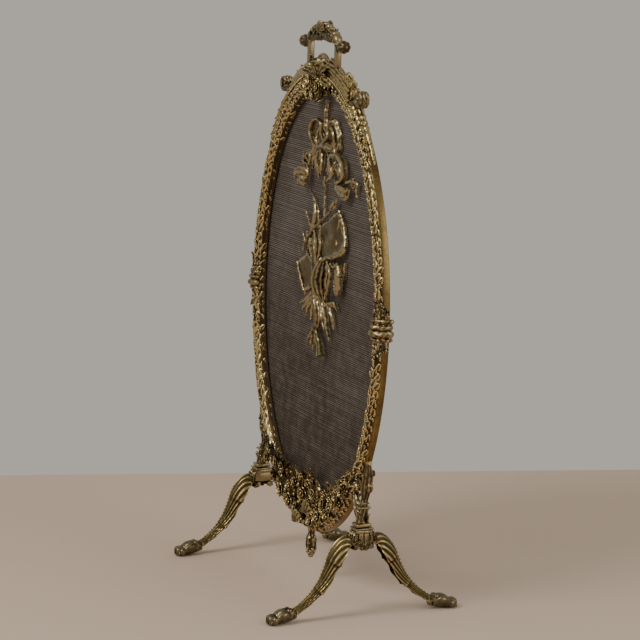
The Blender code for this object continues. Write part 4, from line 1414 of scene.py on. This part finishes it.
bars("reeds_and_torch", ["torch", "ribbon_drop"], [
    ([(-3, -4, 414), (2, -5, 400), (12, -5, 376), (-3, -5, 354), (-5, -5, 336)],
     [4, 5.6, 5, 4.4, 1.8], 0.9, 6),
    ([(-15, -4, 409), (-33, -6, 398), (-55, -7, 389)], [2.6, 2.6, 1.2], 1.0, 0),
    ([(-14, -4, 404), (-32, -6, 391), (-45, -7, 381)], [2.6, 2.6, 1.2], 1.0, 0),
    ([(-9, -4, 400), (-24, -6, 387), (-32, -7, 374)], [2.4, 2.4, 1], 1.0, 0),
    ([(-5, -4, 396), (-13, -5, 383), (-14, -6, 370)], [2.4, 2.4, 1], 1.0, 0),
    ([(-24, -4, 416), (-38, -6, 409), (-42, -6, 401)], [2.2, 2.4, 1.2], 1.0, 0),
    ([(25, -5, 409), (42, -5, 400), (69, -3, 404), (79, -2, 396)], [3, 3, 3.4, 1.6], 0.9, 3),
    ([(27, -4, 404), (37, -4, 386), (44, -3, 368), (51, -2, 350)], [3.4, 4.2, 3.4, 1.2], 0.9, 3),
    ([(48, -4, 401), (62, -3, 388), (69, -2, 369)], [2.6, 3, 1], 0.9, 0),
    ([(22, -5, 399), (28, -5, 379), (35, -4, 363)], [2.2, 2.6, 1], 0.9, 0),
    ([(-1, -3, 363), (-15, -5, 351), (-27, -6, 338)], [2, 1.8, 1], 1.0, 0),
    ([(0, -3, 359), (-10, -5, 345), (-14, -6, 333)], [2, 1.8, 1], 1.0, 0),
    ([(4, -3, 355), (-4, -4, 340), (-4, -5, 329)], [2, 1.8, 1], 1.0, 0),
    ([(1, -5, 363), (14, -5, 351), (24, -5, 339), (29, -5, 326)], [3, 4.4, 5, 6.2], 0.9, 5)])

# %% [markdown]
# ## Garland at the foot of the ring
#
# The lowest part of the oval is filled with a dense garland. A bumpy sheet closes the gap
# between the ring and the garland's scalloped upper edge, and flowers, leaves, buds and
# short scrolls are laid over it in rows, following the oval and growing towards the middle.

# %% Garland
# The scalloped upper edge of the garland, in millimetres.
EDGE = [(-113, -6, 148), (-87, -6, 146), (-53, -7, 147), (-23, -7, 140), (1, -7, 153), (26, -7, 151),
        (48, -7, 140), (70, -6, 133), (91, -5, 147), (112, -4, 145), (132, -3, 160), (155, -2, 178),
        (177, -1, 197)]


def build_garland():
    rim = [oval_point(math.radians(223 + 95 * index / 12), 0.005, 0.009) for index in range(13)]
    upper = smooth_path(metres(EDGE), 73)
    lower = smooth_path([tuple(point) for point in rim], 73)
    work = bmesh.new()

    def place(u, v):
        column = round(u * 72)
        low, high = Vector(lower[column]), Vector(upper[column])
        point = low.lerp(high, v)
        lumps = (0.0022 * math.sin(column * 0.9 + 7 * v) * math.sin(9 * v + column * 0.35)
                 + 0.0014 * math.cos(column * 2.1 + 11 * v))
        return point + Vector((0, -0.0015 - 0.004 * math.sin(math.pi * v) - lumps, 0))

    shape_grid(work, 72, 18, place, weld=False)
    thicken(work, -0.0035)
    add_piece("garland_ground", to_mesh(work, "garland_ground"), GILT_DEEP, ["bottom_garland"], gain=1.4,
              uneven=0.001)
    leaves = bmesh.new()
    rng = random.Random(11)
    for column in range(1, 24):
        share = column / 24
        index = round(share * 72)
        low, high = Vector(lower[index]), Vector(upper[index])
        depth = (high - low).length
        inward = (high - low).normalized()
        heading = math.degrees(math.atan2(inward.x, inward.z))
        rows = max(1, round(depth / 0.0115))
        for row in range(rows):
            place_at = low.lerp(high, (row + 0.35) / rows)
            turn = heading + (26 if (row + column) % 2 else -26) + rng.uniform(-14, 14)
            stamp(leaves, LEAF_LOW,
                  on_panel(place_at.x, place_at.z, -place_at.y + 0.0035 + 0.0015 * (row % 2), turn,
                                          tip=rng.uniform(-6, 8), size=rng.uniform(0.5, 0.66),
                                          flip=1 if column % 2 else -1))
    add_piece("garland_leaves", to_mesh(leaves, "garland_leaves"), GILT_DEEP, ["bottom_garland"],
              gain=1.3, uneven=0.0008)
    blooms = bmesh.new()
    for column in range(2, 23, 2):
        index = round(column / 24 * 72)
        low, high = Vector(lower[index]), Vector(upper[index])
        for row, share in enumerate((0.28, 0.66, 0.92)):
            if (high - low).length < 0.02 and row == 1:
                continue
            point = low.lerp(high, share)
            size = (0.95, 0.8, 0.6)[row] * rng.uniform(0.85, 1.1)
            stamp(blooms, FLOWER,
                  on_panel(point.x + rng.uniform(-0.003, 0.003), point.z, -point.y + 0.0085, 0,
                                           tip=rng.uniform(-14, 14), roll=rng.uniform(-25, 25), size=size))
        for _ in range(7):
            point = low.lerp(high, rng.uniform(0.1, 0.98))
            bead(blooms, (point.x + rng.uniform(-0.006, 0.006), point.y - 0.0085, point.z),
                 rng.uniform(0.002, 0.0032), detail=2)
    add_piece("garland_flowers", to_mesh(blooms, "garland_flowers"), ANTIQUE, ["bottom_garland"],
              gain=1.2, uneven=0.0005)


build_garland()
bars("garland_scrolls", ["bottom_garland"], [
    ([(-126, -5, 156), (-104, -6, 147), (-72, -8, 147), (-44, -9, 150), (-39, -9, 141), (-59, -9, 134),
      (-73, -9, 137)],
     [3, 3.4, 3.4, 3, 2.8, 2.4, 1.8], 1.0, 3),
    ([(-62, -8, 130), (-34, -9, 132), (-9, -9, 141), (-14, -9, 147), (-35, -9, 142)],
     [2.6, 2.8, 2.8, 2.2, 1.6], 1.0, 3),
    ([(43, -10, 108), (32, -11, 125), (19, -10, 140), (11, -9, 154)], [4, 4.8, 4, 1.6], 0.9, 4),
    ([(65, -9, 110), (53, -10, 127), (49, -9, 143), (33, -8, 151)], [3.6, 4, 3.4, 1.6], 0.9, 4),
    ([(180, -2, 201), (171, -4, 184), (156, -5, 168), (140, -5, 173), (148, -4, 182)],
     [2.6, 3.2, 3, 2.4, 1.6], 1.0, 3)])


# %% [markdown]
# ## Shells and the pendant
#
# Two small shells sit on the garland, and a bud hangs under the ring, wrapped in leaves.

# %% Shell, rim band and pendant
def build_pendant():
    work = bmesh.new()
    stamp(work, shell_fan(0.023, 7, math.radians(160), 0.006, 0.0014),
          on_panel(0.03, 0.101, 0.013, 10, tip=10))
    stamp(work, shell_fan(0.02, 6, math.radians(150), 0.006, 0.0014),
          on_panel(-0.004, 0.083, 0.016, -10, tip=10))
    add_piece("garland_shells", to_mesh(work, "garland_shells"), ANTIQUE, ["bottom_garland"], gain=1.2,
              uneven=0.0006)
    low, high = panel_box("pendant_finial")
    x, y = (low.x + high.x) / 2, (low.y + high.y) / 2
    bud = bmesh.new()
    heights = [high.z, high.z - 0.006, high.z - 0.01, high.z - 0.018, high.z - 0.026, low.z + 0.006, low.z]
    tube(bud, [(x, y, z) for z in heights], [0.0058, 0.0046, 0.0062, 0.0078, 0.0074, 0.0052, 0.0024],
         around=36, samples=40, flutes=6, depth=0.22)
    for level in range(4):
        for step in range(5):
            angle = 2 * math.pi * (step + 0.5 * (level % 2)) / 5
            radius = (0.006, 0.0052, 0.0038, 0.0018)[level]
            bead(bud, (x + radius * math.cos(angle), y + radius * math.sin(angle),
                       low.z + 0.0125 - 0.0034 * level),
                 0.0024, detail=2)
    for step in range(5):
        angle = 72 * step
        stamp(bud, LEAF_SMALL,
              Matrix.Translation((x, y, high.z - 0.009)) @ Matrix.Rotation(math.radians(angle), 4, "Z")
              @ Matrix.Translation((0, -0.0048, 0)) @ Matrix.Rotation(math.radians(-78), 4, "X")
              @ Matrix.Scale(0.95, 4))
    add_piece("pendant_bud", to_mesh(bud, "pendant_bud"), BROWN_BRASS, ["pendant_finial"],
              gain=1.3, uneven=0.0008)


build_pendant()

# %% [markdown]
# ## Brackets and leg plates
#
# The ring is carried by a bracket on each side: a leafy mount against the ring, a narrow
# neck and a tapered block. Below it, a stepped plate joins the block to the two legs.

# %% Brackets
def box_block(work, centre, size, bevel=0.0012):
    made = bmesh.ops.create_cube(work, size=1.0)
    bmesh.ops.scale(work, vec=size, verts=made["verts"])
    bmesh.ops.translate(work, vec=centre, verts=made["verts"])
    edges = {edge for vertex in made["verts"] for edge in vertex.link_edges}
    bmesh.ops.bevel(work, geom=list(edges), offset=bevel, affect="EDGES", segments=2, profile=0.5,
                    material=-1)


def build_brackets():
    for name, side in (("left", -1), ("right", 1)):
        work = bmesh.new()
        tube(work, [(side * 0.209, 0.0, 0.1285), (side * 0.2085, 0.001, 0.14), (side * 0.208, 0.003, 0.152),
                    (side * 0.208, 0.005, 0.16), (side * 0.21, 0.006, 0.17), (side * 0.214, 0.0064, 0.182),
                    (side * 0.217, 0.0064, 0.196), (side * 0.219, 0.0064, 0.212)],
             [0.0092, 0.0074, 0.0066, 0.0054, 0.0066, 0.0078, 0.0068, 0.0034], around=32, samples=56,
             flutes=8, depth=0.16)
        for height, y, size in ((0.15, 0.0024, (0.0195, 0.017, 0.0026)),
                                (0.1555, 0.0036, (0.014, 0.012, 0.0022))):
            box_block(work, (side * 0.2085, y, height), size)
        for bend, radii in (([(0.202, 0.004, 0.166), (0.193, 0.003, 0.174), (0.19, 0.003, 0.186),
                              (0.196, 0.002, 0.196), (0.203, 0.002, 0.19)],
                             [0.005, 0.0064, 0.006, 0.0044, 0.002]),
                            ([(0.205, 0.001, 0.134), (0.193, 0.002, 0.139), (0.181, 0.003, 0.15),
                              (0.174, 0.003, 0.162)], [0.007, 0.0072, 0.0058, 0.0028]),
                            ([(0.218, 0.007, 0.186), (0.2215, 0.007, 0.18), (0.219, 0.007, 0.174),
                              (0.215, 0.006, 0.178)], [0.0036, 0.0052, 0.0046, 0.0022])):
            tube(work, [(side * x, y, z) for x, y, z in bend], radii, around=20, samples=36, flutes=5,
                 depth=0.2)
        for front in (1, -1):
            for x, z, heading, size, lift, middle in ((0.208, 0.168, 6, 0.55, 0.0, 0.006),
                                                      (0.213, 0.18, 8, 0.5, 0.0, 0.006),
                                                      (0.2, 0.17, -22, 0.55, 0.002, 0.006),
                                                      (0.209, 0.129, 0, 0.56, 0.0055, 0.001),
                                                      (0.203, 0.129, -16, 0.46, 0.005, 0.001),
                                                      (0.215, 0.129, 12, 0.42, 0.0045, 0.001)):
                mirror = (Matrix.Translation((0, 2 * middle if front < 0 else 0, 0))
                          @ Matrix.Diagonal((1, front, 1, 1)))
                stamp(work, LEAF_FLAT,
                      mirror @ on_panel(side * x, z, lift, side * heading, tip=2, size=size, flip=side))
        add_piece(f"bracket_{name}", to_mesh(work, f"bracket_{name}"), BROWN_BRASS, [f"leg_bracket_{name}"],
                  "leg_brass", on_panel=False, gain=1.2, uneven=0.0007)
        pin = bmesh.new()
        tube(pin, [(side * 0.213, 0.0062, 0.211), (side * 0.2215, 0.0066, 0.2118),
                   (side * 0.226, 0.0068, 0.2122)],
             [0.003, 0.0032, 0.0028], around=16, samples=12)
        add_piece(f"bracket_pin_{name}", to_mesh(pin, f"bracket_pin_{name}"), OLIVE,
                  [f"leg_bracket_{name}"], "leg_brass", on_panel=False, base=0.85, gain=0.2)
        plate = bmesh.new()
        for z, height, wide, deep in ((0.1262, 0.0046, 0.0205, 0.021), (0.1215, 0.0026, 0.0235, 0.026),
                                      (0.1175, 0.0044, 0.0215, 0.024), (0.109, 0.013, 0.0175, 0.026)):
            box_block(plate, (side * LEG_X, 0.0, z), (wide, deep, height))
        for front in (-1, 1):
            for across in (-1, 0, 1):
                base = Matrix.Translation((side * (LEG_X + 0.0065 * across), front * 0.01, 0.1195))
                lay = base @ Matrix.Rotation(math.radians(0 if front < 0 else 180), 4, "Z")
                stamp(plate, LEAF_FLAT,
                      lay @ Matrix.Rotation(math.radians(-112), 4, "X") @ Matrix.Scale(0.62, 4))
            tube(plate, [(side * LEG_X - 0.0105, front * 0.008, 0.0985), (side * LEG_X, front * 0.012, 0.096),
                         (side * LEG_X + 0.0105, front * 0.008, 0.0985)],
                 [0.0034, 0.0046, 0.0034], around=24, samples=24, flutes=6, depth=0.2)
        hanging = Matrix(((0, 0, side, 0), (-side, 0, 0, 0), (0, -1, 0, 0), (0, 0, 0, 1)))
        for across, size in ((-0.008, 0.52), (0.0, 0.6), (0.008, 0.52)):
            place = Matrix.Translation((side * 0.2186, across, 0.119)) @ hanging
            stamp(plate, LEAF_FLAT, place @ Matrix.Scale(size, 4))
        fan = shell_fan(0.0165, 5, math.radians(150), 0.0035)
        stamp(plate, fan, Matrix.Translation((side * 0.215, 0, 0.108)) @ hanging)
        add_piece(f"plate_{name}", to_mesh(plate, f"plate_{name}"), BROWN_BRASS, [f"leg_plate_{name}"],
                  "leg_brass", on_panel=False, gain=1.2, uneven=0.0006)


build_brackets()


# %% [markdown]
# ## Plain CAD pieces
#
# The hoop behind the cloth, its screws, the nuts and the bolts are simple shapes already,
# so they stay as the CAD made them and only take a finish.

# %% Plain finish on the CAD pieces that are still shown
def finish_cad_nodes():
    for name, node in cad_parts.items():
        slot = OLIVE if name.startswith("leg") and "bracket" not in name else GILT_DEEP
        store_relief(node.data, 0.5, 0.4, 1)
        node.data.materials.clear()
        node.data.materials.append(slot)


finish_cad_nodes()


# %% [markdown]
# ## Floor and light
#
# A pale floor ends a little way behind the screen, and past its edge is the even grey of
# the room, so the screen is free to be seen from every side. One large soft lamp high on
# the left makes the modelling, a weaker one on the right opens the shadows, and the room's
# own light does the rest.

# %% Floor and lights
def plain(name, colour, roughness):
    graph = Graph(name)
    graph.feed("Base Color", colour)
    graph.feed("Roughness", roughness)
    return graph.material


def stage_plane(name, size, matrix, material):
    work = bmesh.new()
    bmesh.ops.create_grid(work, x_segments=1, y_segments=1, size=size / 2)
    bmesh.ops.transform(work, matrix=matrix, verts=work.verts)
    mesh = bpy.data.meshes.new(name)
    work.to_mesh(mesh)
    work.free()
    mesh.materials.append(material)
    plane = bpy.data.objects.new(name, mesh)
    bpy.context.scene.collection.objects.link(plane)


def area_light(name, location, target, size, power, colour):
    data = bpy.data.lights.new(name, "AREA")
    data.shape = "DISK"
    data.size = size
    data.energy = power
    data.color = colour
    lamp = bpy.data.objects.new(name, data)
    lamp.location = location
    lamp.rotation_euler = (Vector(target) - Vector(location)).to_track_quat("-Z", "Y").to_euler()
    bpy.context.scene.collection.objects.link(lamp)


FLOOR_SIZE = 14.0
FLOOR_BEHIND = 0.72
ahead = Vector((forward.x, forward.y, 0.0)).normalized()
floor = (Matrix.Translation(ahead * (FLOOR_BEHIND - FLOOR_SIZE / 2))
         @ Matrix.Rotation(math.atan2(-ahead.x, ahead.y), 4, "Z"))
stage_plane("floor", FLOOR_SIZE, floor, plain("pale_floor", (0.64, 0.5, 0.4), 0.9))

side = Vector((level.x, level.y, 0.0))
area_light("key", -ahead * 1.6 - side * 2.0 + Vector((0, 0, 2.6)), (0, 0, 0.35), 1.6, 54.0,
           (1.0, 0.97, 0.93))
area_light("fill", -ahead * 2.2 + side * 2.2 + Vector((0, 0, 1.6)), (0, 0, 0.35), 2.0, 26.0,
           (0.95, 0.97, 1.0))
world = bpy.data.worlds.new("room")
world.use_nodes = True
world.node_tree.nodes["Background"].inputs["Color"].default_value = (0.76, 0.722, 0.63, 1.0)
world.node_tree.nodes["Background"].inputs["Strength"].default_value = 0.62
bpy.context.scene.world = world
